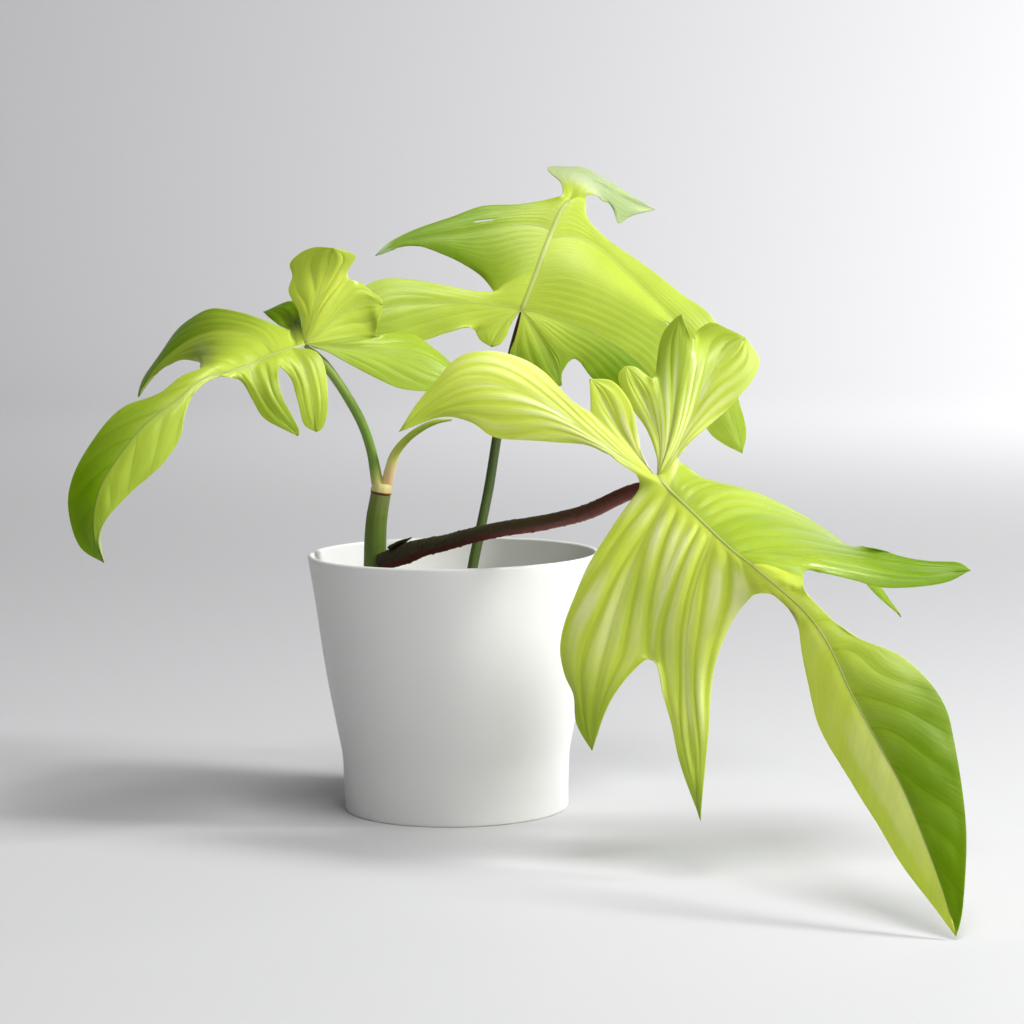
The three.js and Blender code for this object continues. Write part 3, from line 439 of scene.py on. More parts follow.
BACK_LEAF = {
    "look": {
        "quilt": 0.17, "spacing": 6, "slant": 24, "drift": 1.6, "green": [0.45, 0.45], "young": 0.3,
        "wave": 0.25, "rib": 1.4,
    },
    "midrib": [[35, 45, 238], [42, 50, 255], [48, 57, 270], [56, 66, 287], [60, 69, 291]],
    "lobes": [
        # low left
        {
            "root": 0, "rows": 10, "droop": [5, 5],
            "look": {"fan": [3, 3], "drift": 1, "quilt": 0.4, "green": [0.75, 0.75]},
            "vein": [[40, 42, 230], [47, 38, 218], [54, 34, 201]],
            "face": [[-0.1, -0.9, 0.43], [-0.1, -0.97, 0.2]],
            "left": [[0.88, 2], [0.94, 1]],
            "right": [[0.15, 6], [0.26, 11], [0.38, 17], [0.67, 17], [0.96, 8]],
        },
        # low right
        {
            "root": 0, "rows": 13, "droop": [5, 5],
            "look": {"fan": [6, 5], "quilt": 0.25, "green": [0.5, 0.85]},
            "vein": [[46, 43, 235], [61, 41, 230], [78, 38, 223], [91, 35, 213], [102, 33, 198]],
            "face": [[-0.05, -0.9, 0.43], [0.1, -0.97, 0.2]],
            "left": [[0.91, 23], [0.99, 16]],
            "right": [[0.41, 15], [0.46, 17], [0.6, 21], [0.85, 19], [0.98, 11]],
        },
        # right arm
        {
            "root": 0.62, "rows": 14, "droop": [8, 8],
            "look": {"fan": [7, 10], "green": [0.5, 0.5]},
            "vein": [
                [67, 62, 274], [84, 56, 258], [103, 50, 239], [123, 46, 217], [136, 43, 192],
                [143, 41, 166],
            ],
            "face": [[0, -0.9, 0.43], [0.25, -0.95, 0.1]],
            "left": [[0.12, 6], [0.18, 5], [0.27, 9], [0.46, 13], [0.6, 16], [0.83, 6], [0.94, 5]],
            "right": [[0.57, 1], [0.63, 5], [0.76, 11], [0.9, 14], [0.95, 9]],
        },
        # end
        {
            "root": 1, "rows": 12, "droop": [5, 5],
            "look": {
                "fan": [3, 3], "drift": 1, "green": [0.6, 0.6], "pale": 0.9, "pale_from": [0.15, 0.35],
            },
            "vein": [
                [62, 76, 295], [64, 92, 300], [69, 112, 303], [78, 128, 300], [88, 138, 293],
                [99, 144, 288], [108, 148, 286],
            ],
            "face": [[0, -0.5, 0.85], [0, -0.9, 0.45]],
            "left": [[0.25, 8], [0.44, 20], [0.51, 14], [0.61, 12], [0.69, 6]],
            "right": [[0.1, 9], [0.68, 9], [0.75, 6], [0.79, 15], [0.87, 7]],
        },
        # left arm
        {
            "root": 0.7, "rows": 14, "droop": [8, 8],
            "look": {
                "fan": [9, 7], "young": 0.4, "green": [1.0, 1.0], "pale": 0.8,
                "pale_from": [0.88, 0.95], "slit": {1: [[24, 31, 12], [23, 32, 13]]},
            },
            "vein": [
                [40, 64, 281], [23, 62, 279], [3, 60, 275], [-17, 58, 273], [-29, 56, 270],
                [-37, 54, 265],
            ],
            "face": [[0, -0.9, 0.43], [-0.25, -0.9, 0.35]],
            "left": [[0.46, 24], [0.52, 17], [0.61, 10], [0.8, 2], [0.93, 2]],
            "right": [[0.08, 18], [0.16, 10], [0.36, 13], [0.55, 10], [0.77, 5], [0.9, 2]],
        },
        # left tail
        {
            "root": 0, "rows": 13, "droop": [8, 8],
            "look": {"fan": [3, 3], "drift": 3, "green": [0.5, 0.5]},
            "vein": [[24, 44, 240], [12, 43, 242], [-7, 42, 242], [-29, 40, 241], [-48, 36, 235]],
            "face": [[0, -0.9, 0.43], [-0.2, -0.9, 0.4]],
            "left": [[0.31, 13], [0.47, 16], [0.58, 19], [0.84, 17], [0.98, 9]],
            "right": [[0.27, 6], [0.55, 12], [0.78, 16], [0.9, 13]],
        },
        # left drop
        {
            "root": 0, "rows": 8, "droop": [5, 5],
            "look": {"fan": [2, 2], "drift": 1, "green": [0.45, 0.45]},
            "vein": [[28, 43, 233], [23, 41, 226], [20, 39, 220]],
            "face": [[0, -0.9, 0.43], [0, -0.97, 0.2]],
            "left": [[0.32, 2], [0.64, 4], [0.89, 3]],
            "right": [[0.95, 7]],
        },
    ],
    "gaps": [
        {"foot": 0, "at": [57, 36, 212], "rows": 6, "reach": [0.7, 0.45]},
        {"foot": 0.3, "at": [105, 43, 232], "rows": 8, "reach": [0.82, 0.55]},
        {"foot": 1, "at": [68, 71, 293], "rows": 2, "reach": [0.1, 0.06]},
        {"foot": 1, "at": [57, 70, 294], "rows": 2, "reach": [0.06, 0.12]},
        {"foot": 0.3, "at": [22, 47, 246], "rows": 4, "reach": [0.38, 0.16]},
        {"foot": 0, "at": [12, 42, 228], "rows": 6, "reach": [0.3, 0.75]},
    ],
}

# Stage: the camera's place in metres and its pitch, yaw and roll in degrees, and the key light
CAMERA_PLACE = (0, -1.473, 0.2874)
CAMERA_TURN = (5.617, -1.099, 0.617)
KEY_DIRECTION = (0.79, -0.23, 0.57)
KEY_DISTANCE = 1.7


# Settings


class PotSettings(bpy.types.PropertyGroup):
    """Sizes and colour of the pot."""

    rim_radius: bpy.props.FloatProperty(
        name="Rim radius", description="Outer radius at the rim", default=POT_HIGH.x, unit="LENGTH")
    height: bpy.props.FloatProperty(
        name="Height", description="Height of the rim above the base", default=POT_HIGH.z, unit="LENGTH")
    base_radius: bpy.props.FloatProperty(
        name="Base radius", description="Outer radius at the base", default=0.054, unit="LENGTH")
    wall: bpy.props.FloatProperty(
        name="Wall", description="Thickness of the wall", default=0.0024, unit="LENGTH")
    colour: bpy.props.FloatVectorProperty(
        name="Colour", description="Colour of the pot", default=(0.87, 0.87, 0.855), subtype="COLOR")


class LeafSettings(bpy.types.PropertyGroup):
    """Sizes and colours of the leaf blades."""

    thickness: bpy.props.FloatProperty(
        name="Thickness", description="Thickness of the blades", default=0.0007, unit="LENGTH")
    relief: bpy.props.FloatProperty(
        name="Relief", description="Share of the full height between the side veins", default=1.0)
    roughness: bpy.props.FloatProperty(
        name="Roughness", description="Roughness of the upper face", default=0.32, subtype="FACTOR")
    young: bpy.props.FloatVectorProperty(
        name="Young", description="Colour near the stalk", default=(0.61, 0.71, 0.09), subtype="COLOR")
    old: bpy.props.FloatVectorProperty(
        name="Old", description="Colour of the ripe lobes", default=(0.155, 0.28, 0.001), subtype="COLOR")
    pale: bpy.props.FloatVectorProperty(
        name="Pale", description="Tint of the underside", default=(0.50, 0.58, 0.30), subtype="COLOR")


class StageSettings(bpy.types.PropertyGroup):
    """The floor, the lights and the camera."""

    floor: bpy.props.FloatVectorProperty(
        name="Floor", description="Colour of the floor", default=(0.61, 0.61, 0.62), subtype="COLOR")
    key: bpy.props.FloatProperty(
        name="Key light", description="Power of the key light", default=28, unit="POWER")
    top: bpy.props.FloatProperty(
        name="Top light", description="Power of the soft light above", default=30, unit="POWER")
    fill: bpy.props.FloatProperty(
        name="Fill light", description="Power of the soft light in front", default=8.5, unit="POWER")
    wall: bpy.props.FloatProperty(
        name="Wall light", description="Power of the light on the backdrop", default=98, unit="POWER")
    lens: bpy.props.FloatProperty(
        name="Lens", description="Focal length in millimetres", default=108.4)


# Curves, fields and grids


def unit(vectors):
    """The vectors divided by their lengths."""
    return vectors / np.maximum(np.linalg.norm(vectors, axis=-1, keepdims=True), 1e-9)


def smoothstep(low, high, values):
    """0 below low and 1 above high, with the cubic 3t^2 - 2t^3 between them."""
    t = np.clip((values - low) / (high - low), 0, 1)
    return t * t * (3 - 2 * t)


def spline(points, parts=32):
    """A centripetal Catmull-Rom curve through the points. Each span is the blend of the lines
    through its four nearest points, with knots spaced by the square root of their distances."""
    p = np.asarray(points, float)
    p = np.vstack([2 * p[0] - p[1], p, 2 * p[-1] - p[-2]])
    gaps = np.maximum(np.linalg.norm(np.diff(p, axis=0), axis=1), 1e-6) ** 0.5
    knots = np.concatenate([[0], np.cumsum(gaps)])
    span = np.repeat(np.arange(1, len(p) - 2), parts)
    k = [knots[span + i][:, None] for i in (-1, 0, 1, 2)]
    t = k[1] + np.tile(np.arange(parts) / parts, len(p) - 3)[:, None] * (k[2] - k[1])

    def line(u, v, a, b):
        return ((b - t) * u + (t - a) * v) / (b - a)

    first = [line(p[span + i - 1], p[span + i], k[i], k[i + 1]) for i in (0, 1, 2)]
    second = [line(first[i], first[i + 1], k[i], k[i + 2]) for i in (0, 1)]
    return np.vstack([line(second[0], second[1], k[1], k[2]), p[-2:-1]])


def lengths(curve):
    """The distance travelled at each point of a fine curve."""
    return np.concatenate([[0], np.cumsum(np.linalg.norm(np.diff(curve, axis=0), axis=1))])


def walk(curve, fractions):
    """The points at fractions of a fine curve's length."""
    travelled = lengths(curve)
    wanted = np.asarray(fractions) * travelled[-1]
    return np.stack([np.interp(wanted, travelled, curve[:, axis]) for axis in range(3)], -1)


def ripple(u, v, seed):
    """A smooth field between about -1 and 1: the mean of sines along turned axes of (u, v)."""
    draw = np.random.default_rng(seed)
    field = np.zeros(np.broadcast(u, v).shape)
    for _ in range(RIPPLE_WAVES):
        angle = draw.uniform(0, 2 * np.pi)
        phase = draw.uniform(0, 2 * np.pi)
        scale = draw.uniform(0.6, 1.7)
        field += np.sin(scale * (u * np.cos(angle) + v * np.sin(angle)) + phase)
    return field / RIPPLE_WAVES * RIPPLE_GAIN


def grid_faces(rows, columns, first=0, around=False):
    """The corners of the quads of a grid, whose columns close on themselves if it goes around."""
    index = first + np.arange(rows * columns).reshape(rows, columns)
    if around:
        index = np.hstack([index, index[:, :1]])
    return np.stack([index[:-1, :-1], index[:-1, 1:], index[1:, 1:], index[1:, :-1]], -1).reshape(-1, 4)


def closed_faces(points, rings, sides):
    """The faces of a closed shape whose points are rings, then a pole before the first ring and a
    pole after the last. They are turned to point outwards."""
    faces = [tuple(f) for f in grid_faces(rings, sides, around=True)]
    k = np.arange(sides)
    after = (k + 1) % sides
    last = (rings - 1) * sides
    poles = rings * sides
    faces += [tuple(f) for f in np.stack([after, k, np.full(sides, poles)], -1)]
    faces += [tuple(f) for f in np.stack([last + k, last + after, np.full(sides, poles + 1)], -1)]
    return outward(points, faces)


def outward(points, faces):
    """The faces, turned over if the volume that they close comes out negative."""
    p = np.asarray(points)
    fans = np.array([(f[0], f[i], f[i + 1]) for f in faces for i in range(1, len(f) - 1)])
    a, b, c = p[fans[:, 0]], p[fans[:, 1]], p[fans[:, 2]]
    volume = np.einsum("ij,ij->i", a, np.cross(b, c)).sum()
    return faces if volume > 0 else [tuple(reversed(f)) for f in faces]


# Pieces


def add_piece(name, points, faces, materials, face_slots=None, sharp=None):
    """A mesh object made from points in millimetres, which rides on the body and replaces the
    node of the same name."""
    mesh = bpy.data.meshes.new(name)
    mesh.from_pydata((np.asarray(points) * MM).tolist(), [], [list(map(int, f)) for f in faces])
    for material in materials:
        mesh.materials.append(material)
    mesh.polygons.foreach_set("use_smooth", np.ones(len(mesh.polygons), bool))
    if face_slots is not None:
        mesh.polygons.foreach_set("material_index", np.asarray(face_slots, np.int32))
    if sharp is not None:
        mesh.set_sharp_from_angle(angle=np.radians(sharp))
    mesh.update()
    piece = bpy.data.objects.new(name, mesh)
    bpy.context.scene.collection.objects.link(piece)
    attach(piece, BODY)
    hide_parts(name)
    return piece


def point_value(piece, name, values):
    """Keeps one number for each corner point of the piece, for its material."""
    attribute = piece.data.attributes.new(name, "FLOAT", "POINT")
    attribute.data.foreach_set("value", np.asarray(values, np.float32))


def corner_map(piece, name, values):
    """Keeps a pair of numbers for each face corner of the piece as a UV map."""
    layer = piece.data.uv_layers.new(name=name)
    layer.data.foreach_set("uv", np.asarray(values, np.float32).ravel())


# Pot and soil


def arc(centre, wide, tall, start, end, parts):
    """Points along an arc of an upright ellipse, between two angles in degrees."""
    turn = np.radians(np.linspace(start, end, parts + 1))
    return np.column_stack([centre[0] + wide * np.cos(turn), centre[1] + tall * np.sin(turn)])


def pot_profile(pot):
    """The pot's section from the centre of its base over the lip to the centre of its floor:
    a smooth outer line, quarter rounds at the base, a half round lip and a parallel inner line."""
    rim, height, base, wall = (v / MM for v in (pot.rim_radius, pot.height, pot.base_radius, pot.wall))
    foot = arc((base - BASE_ROUND, BASE_ROUND), BASE_ROUND, BASE_ROUND, -90, 0, 6)
    outer = np.vstack([[base, BASE_ROUND], POT_PROFILE, [rim, height - LIP_ROUND]])
    outer = spline(np.column_stack([outer, np.zeros(len(outer))]), 10)[:, :2]
    lip = arc((rim - 0.5 * wall, height - LIP_ROUND), 0.5 * wall, LIP_ROUND, 0, 180, 12)
    inner = outer[::-1] - [wall, 0]
    inner = inner[inner[:, 1] > POT_FLOOR + 1]
    corner = [[inner[-1, 0] - 0.5, POT_FLOOR + 0.3], [inner[-1, 0] - 2, POT_FLOOR]]
    return np.vstack([[0, 0], foot, outer[1:-1], lip, inner[1:], corner, [0, POT_FLOOR]])


def turned(profile, sides):
    """A closed surface from a section turned round the upright axis, from pole to pole."""
    angle = 2 * np.pi * np.arange(sides) / sides
    radius = profile[1:-1, 0, None]
    height = np.repeat(profile[1:-1, 1, None], sides, 1)
    ring = np.stack([radius * np.cos(angle), radius * np.sin(angle), height], -1).reshape(-1, 3)
    points = np.vstack([ring, [0, 0, profile[0, 1]], [0, 0, profile[-1, 1]]])
    return points, closed_faces(points, len(profile) - 2, sides)


def pot_inside(pot, height):
    """The inner radius of the pot at a height, from its section."""
    profile = pot_profile(pot)
    inner = profile[np.argmax(profile[:, 1]):]
    return np.interp(height, inner[::-1, 1], inner[::-1, 0])


def soil_shape(pot):
    """A plug of soil: rings out from the centre whose height is a sum of ripples at three sizes,
    then rings down the pot's inside, with crumbs strewn over the top."""
    edge = pot_inside(pot, SOIL_LEVEL) - SOIL_ROOM
    angle = 2 * np.pi * np.arange(SOIL_SIDES) / SOIL_SIDES
    radius = edge * np.linspace(0, 1, SOIL_RINGS + 1)[1:, None]
    x = radius * np.cos(angle)
    y = radius * np.sin(angle)
    rings = [np.stack([x, y, soil_height(x, y)], -1).reshape(-1, 3)]
    for height in SOIL_STEPS:
        radius = pot_inside(pot, height) - SOIL_ROOM
        level = np.full(SOIL_SIDES, height)
        rings.append(np.stack([radius * np.cos(angle), radius * np.sin(angle), level], -1))
    poles = [[0, 0, float(soil_height(0.0, 0.0))], [0, 0, SOIL_STEPS[-1]]]
    points = np.vstack([*rings, poles])
    faces = closed_faces(points, SOIL_RINGS + len(SOIL_STEPS), SOIL_SIDES)
    return strewn(points, faces, edge)


def soil_height(x, y):
    """The soil's top at (x, y): its level, a low mound near the stem and ripples of three sizes."""
    away = (x - MOUND_PLACE) ** 2 + y**2
    height = SOIL_LEVEL + MOUND_HEIGHT * np.exp(-away / MOUND_RADIUS**2)
    for seed, (rise, size) in enumerate(SOIL_RIPPLES, 1):
        height = height + rise * ripple(x / size, y / size, seed)
    return height


def strewn(points, faces, edge):
    """Adds crumbs to the points and faces, on the soil's top at seeded places. Each is a ball of
    4 rings of 6 points and two poles, squashed, and bulged by sines."""
    rings, sides = 4, 6
    draw = np.random.default_rng(7)
    lat = np.radians([-60, -20, 20, 60])[None, :, None]
    lon = (2 * np.pi * np.arange(sides) / sides)[None, None, :]
    r = edge * np.sqrt(draw.uniform(0, CRUMB_AREA, CRUMBS))
    a = draw.uniform(0, 2 * np.pi, CRUMBS)
    size = draw.uniform(*CRUMB_SIZE, (CRUMBS, 3))
    turn = draw.uniform(0, 2 * np.pi, CRUMBS)[:, None, None]
    centre = np.column_stack([r * np.cos(a), r * np.sin(a)])
    centre = np.column_stack([centre, soil_height(centre[:, 0], centre[:, 1]) + 0.2])
    lump = 1 + 0.25 * np.sin(3 * lon + turn) * np.cos(2 * lat)
    wide, deep, tall = (size[:, k, None, None] * lump for k in range(3))
    x = wide * np.cos(lat) * np.cos(lon + turn)
    y = deep * np.cos(lat) * np.sin(lon + turn)
    z = CRUMB_FLATNESS * tall * np.sin(lat)
    body = np.stack([x, y, z], -1).reshape(CRUMBS, -1, 3) + centre[:, None]
    low, high = (centre + [0, 0, 1] * (s * 0.62 * size[:, 2:]) for s in (-1, 1))
    crumbs = np.concatenate([body, low[:, None], high[:, None]], 1)
    one = closed_faces(crumbs[0], rings, sides)
    firsts = len(points) + crumbs.shape[1] * np.arange(CRUMBS)
    faces = faces + [tuple(corner + first for corner in f) for first in firsts for f in one]
    return np.vstack([points, crumbs.reshape(-1, 3)]), faces


# Stem and stalks


def tube(line, widths, steps, sides, flat=1.0, top=(0, 1, 0), relief=None):
    """A closed tube: an ellipse carried along a smooth line. The half widths are spread evenly
    along it and smoothed. relief(along, around) is added to the radius, for distances along the
    line in millimetres and angles round it."""
    curve = spline(line)
    f = np.linspace(0, 1, steps + 1)
    centre = walk(curve, f)
    tangent = unit(np.gradient(centre, axis=0))
    normal = unit(np.asarray(top, float) - (tangent @ np.asarray(top, float))[:, None] * tangent)
    side = np.cross(normal, tangent)
    half = np.interp(f, np.linspace(0, 1, len(widths)), widths)
    half[2:-2] = np.convolve(half, np.ones(5) / 5, "valid")
    angle = 2 * np.pi * np.arange(sides) / sides
    radius = np.repeat(half[:, None], sides, 1)
    if relief is not None:
        radius = radius + relief(f[:, None] * lengths(curve)[-1], angle[None, :])
    ring = (
        centre[:, None]
        + (radius * np.cos(angle))[..., None] * side[:, None]
        + (radius * flat * np.sin(angle))[..., None] * normal[:, None]
    )
    points = np.vstack([ring.reshape(-1, 3), centre[:1], centre[-1:]])
    along = np.concatenate([np.repeat(f, sides), [0, 1]])
    around = np.concatenate([np.tile(np.sin(angle), steps + 1), [0, 0]])
    return points, closed_faces(points, steps + 1, sides), along, around


def add_tube(name, line, widths, material, slot, steps, sides, **shape):
    """A tube as a piece, with its place along and around it kept for the material."""
    points, faces, along, around = tube(line, widths, steps, sides, **shape)
    piece = add_piece(name, points, faces, [material], sharp=50)
    point_value(piece, "along", along)
    point_value(piece, "around", around)


def stem_relief(along, angle):
    """Low lengthwise ridges and the faint rings of old leaf scars on the stem."""
    rings = sum(0.18 * np.exp(-(((along - at) / 0.7) ** 2)) for at in (16.0, 58.0))
    return 0.5 * rings + 0.07 * np.sin(11 * angle + 0.05 * along) + 0.05 * np.sin(23 * angle)


def collar_relief(along, angle):
    """A rolled edge at the foot of the collar and uneven folds at its top."""
    foot = 0.12 * np.exp(-(((along - 0.8) / 0.6) ** 2))
    return foot + 0.18 * np.sin(3 * angle + 1) * along / 5 + 0.08 * np.sin(9 * angle)


def bract_relief(along, angle):
    """Crumpled edges of the dry scale."""
    return 0.25 * np.sin(5 * angle + 0.9 * along) + 0.15 * np.sin(1.7 * along)


def skin_relief(along, angle):
    """Faint lengthwise ribs of a fleshy stalk."""
    return 0.035 * np.sin(9 * angle + 0.02 * along) + 0.03 * np.sin(0.21 * along + 2 * angle)


def warts(along, angle):
    """Small warts on the front stalk: a bell-shaped bump at each of many seeded places."""
    draw = np.random.default_rng(11)
    length = float(np.max(along))
    at = draw.uniform(0, length, WARTS)
    turn = draw.uniform(0, 2 * np.pi, WARTS)
    radius = draw.uniform(*WART_RADIUS, WARTS)
    rise = draw.uniform(*WART_RISE, WARTS) * np.clip(1.25 - at / length * 0.5, 0, 1)
    relief = np.zeros(np.broadcast(along, angle).shape)
    batch = 60
    for start in range(0, WARTS, batch):
        part = slice(start, start + batch)
        away = np.mod(angle[..., None] - turn[part] + np.pi, 2 * np.pi) - np.pi
        apart = ((along[..., None] - at[part]) ** 2 + (3.5 * away) ** 2) / radius[part] ** 2
        relief += (rise[part] * np.exp(-apart)).sum(-1)
    return relief + 0.05 * np.sin(7 * angle + 0.03 * along)


def add_stem():
    """The thick upright stem, darker at its foot."""
    stops = [(0.0, (0.05, 0.07, 0.005)), (0.35, (0.07, 0.13, 0.008)), (0.85, (0.13, 0.2, 0.02)),
             (1.0, (0.19, 0.22, 0.06))]
    finish = stalk_finish("stem_green", stops)
    add_tube("stem", STEM_LINE, STEM_WIDTHS, finish, "stem", 90, 48, relief=stem_relief)


def add_collar():
    """The cream collar on the stem's end, with a brown line round its foot."""
    stops = [(0.0, (0.16, 0.05, 0.02)), (0.14, (0.2, 0.07, 0.025)), (0.22, (0.66, 0.56, 0.22)),
             (1.0, (0.72, 0.66, 0.28))]
    finish = stalk_finish("collar_cream", stops)
    before, end = spline(STEM_LINE)[-2:]
    aim = unit(end - before)
    line = [end + aim * COLLAR_GAP, end + aim * (COLLAR_GAP + COLLAR_HEIGHT)]
    add_tube("stem_node", line, COLLAR_WIDTHS, finish, "stem_node", 24, 48, relief=collar_relief)


def add_sheath():
    """The young leaf's sheath: cream at its foot, then yellow-green."""
    stops = [(0.0, (0.85, 0.58, 0.32)), (0.16, (0.86, 0.68, 0.33)), (0.3, (0.66, 0.68, 0.13)),
             (0.55, (0.42, 0.54, 0.05)), (1.0, (0.33, 0.46, 0.04))]
    finish = stalk_finish("sheath_young", stops, streak=0.08)
    add_tube("sheath", SHEATH_LINE, SHEATH_WIDTHS, finish, "sheath", 80, 32)


def add_dried_scale():
    """The dark, dry, pointed scale on the foot of the front stalk."""
    stops = [(0.0, (0.03, 0.014, 0.008)), (1.0, (0.008, 0.005, 0.004))]
    finish = stalk_finish("dry_scale", stops, roughness=0.85, rough_skin=0.0003)
    add_tube("dried_bract", BRACT_LINE, BRACT_WIDTHS, finish, "dried_bract", 40, 32,
             flat=BRACT_FLATNESS, top=(0, 0, 1), relief=bract_relief)


def add_left_stalk():
    """The green stalk of the left leaf, cream at its foot."""
    stops = [(0.0, (0.62, 0.60, 0.22)), (0.05, (0.45, 0.50, 0.12)), (0.12, (0.2, 0.34, 0.04)),
             (0.5, (0.2, 0.34, 0.04)), (1.0, (0.36, 0.46, 0.08))]
    finish = stalk_finish("stalk_green", stops)
    add_tube("left_stalk", LEFT_STALK_LINE, LEFT_STALK_WIDTHS, finish, "green_stalk", 160, 32,
             relief=skin_relief)


def add_back_stalk():
    """The dark green stalk of the back leaf, red at its top."""
    stops = [(0.0, (0.10, 0.15, 0.03)), (0.5, (0.05, 0.085, 0.018)), (0.85, (0.05, 0.05, 0.02)),
             (0.94, (0.09, 0.012, 0.015)), (1.0, (0.16, 0.02, 0.03))]
    finish = stalk_finish("stalk_dark", stops)
    add_tube("back_stalk", BACK_STALK_LINE, BACK_STALK_WIDTHS, finish, "dark_stalk", 240, 32,
             relief=skin_relief)


def add_front_stalk():
    """The thick red-brown stalk of the front leaf, with warts."""
    stops = [(0.0, (0.025, 0.016, 0.006)), (0.25, (0.045, 0.034, 0.01)), (0.6, (0.075, 0.045, 0.018)),
             (1.0, (0.13, 0.02, 0.02))]
    finish = stalk_finish("stalk_red", stops, under=(0.2, 0.045, 0.035), roughness=0.6)
    add_tube("front_stalk", FRONT_STALK_LINE, FRONT_STALK_WIDTHS, finish, "red_stalk", 560, 64,
             top=(0, 0, 1), relief=warts)


# The leaves' lines and grids


def vein_frames(curve, face, fractions):
    """Points, normals and sideways directions at fractions of a vein. The normal turns evenly
    from the face at the root to the face at the tip and is made square to the vein."""
    f = np.asarray(fractions, float)
    point = walk(curve, f)
    ahead = walk(curve, np.minimum(f + VEIN_STEP, 1))
    direction = unit(ahead - walk(curve, np.maximum(f - VEIN_STEP, 0)))
    root_face, tip_face = unit(np.asarray(face, float))
    normal = root_face * (1 - f)[:, None] + tip_face * f[:, None]
    normal = unit(normal - (normal * direction).sum(1, keepdims=True) * direction)
    return point, normal, np.cross(direction, normal)


def row_places(rows):
    """The fine grid's rows, in units of the lobe's rows, with the first ones close together."""
    first = (np.arange(ROOT_PARTS) / ROOT_PARTS) ** ROOT_POWER
    return np.concatenate([first, np.arange(ROW_PARTS, rows * ROW_PARTS + 1) / ROW_PARTS])


def row_fractions(lobe, before, after):
    """The part of the vein's length at each row, even between the root, notches and tip."""
    stops = {0: 0.0, lobe["rows"]: 1.0}
    if before:
        stops[before["rows"]] = before["reach"][1]
    if after:
        stops[after["rows"]] = after["reach"][0]
    rows = sorted(stops)
    return np.minimum(np.interp(row_places(lobe["rows"]), rows, [stops[r] for r in rows]), 1)


def midrib_stops(leaf):
    """Fractions of the midrib where the grid has corners: each root and foot, and between them."""
    fixed = {0.0, 1.0}
    fixed |= {lobe["root"] for lobe in leaf["lobes"]}
    fixed |= {gap["foot"] for gap in leaf["gaps"]}
    fixed = sorted(fixed)
    stops = [0.0]
    for low, high in zip(fixed[:-1], fixed[1:]):
        parts = int(np.ceil((high - low) / MIDRIB_STEP))
        stops += list(low + (high - low) * np.arange(1, parts + 1) / parts)
    return np.array(stops)


def laid_out(description):
    """The leaf with its curves: the midrib and its stops, and each lobe's vein with the fraction,
    place, normal and sideways direction of each row."""
    leaf = dict(description)
    leaf["rib"] = spline(leaf["midrib"])
    leaf["stops"] = midrib_stops(leaf)
    leaf["curves"] = []
    leaf["fractions"] = []
    leaf["frames"] = []
    for lobe, before, after in zip(leaf["lobes"], [None, *leaf["gaps"]], [*leaf["gaps"], None]):
        curve = spline(np.vstack([walk(leaf["rib"], lobe["root"]), lobe["vein"]]))
        fractions = row_fractions(lobe, before, after)
        leaf["curves"].append(curve)
        leaf["fractions"].append(fractions)
        leaf["frames"].append(vein_frames(curve, lobe["face"], fractions))
    return leaf


def margin_points(lobe, curve, hand, start, reach, places):
    """Points of a lobe's free margin at places from 0 at the notch to 1 at the tip. The margin is
    a smooth curve through the stations, and places count half its length and half the vein's."""
    stations = np.asarray(lobe["left" if hand < 0 else "right"], float)
    droop = np.radians(lobe["droop"][0 if hand < 0 else 1])
    point, normal, side = vein_frames(curve, lobe["face"], stations[:, 0])
    width = stations[:, 1:2]
    outline = point + hand * width * np.cos(droop) * side - width * np.sin(droop) * normal
    margin = spline(np.vstack([start, outline, curve[-1]]))
    stops = np.concatenate([[reach], np.maximum(stations[:, 0], reach), [1]])
    spans = np.linspace(0, len(stops) - 1, len(margin))
    share = (np.interp(spans, np.arange(len(stops)), stops) - reach) / (1 - reach)
    travelled = lengths(margin)
    progress = 0.5 * travelled / travelled[-1] + 0.5 * share
    return np.stack([np.interp(places, progress, margin[:, axis]) for axis in range(3)], -1)


def valley(leaf, i, hand, gap, progress):
    """The line that a lobe shares with its neighbour, from the gap's foot, where progress is 0, to
    its notch, where it is 1: midway between the two veins, and raised by a low arch. Returns the
    points and the arch's heights."""
    rows = len(progress)
    point, normal, _ = leaf["frames"][i]
    other, other_normal, _ = leaf["frames"][i - hand]
    middle = 0.5 * (point[:rows] + other[:rows])
    facing = unit(normal[:rows] + other_normal[:rows])
    apart = np.linalg.norm(point[:rows] - other[:rows], axis=1)
    crown = BLADE_ARCH * 0.5 * apart * (4 * progress * (1 - progress))
    q = progress[:, None]
    foot = walk(leaf["rib"], gap["foot"])
    line = middle + (foot - middle[0]) * (1 - q) + (gap["at"] - middle[-1]) * q
    return line + crown[:, None] * facing, crown


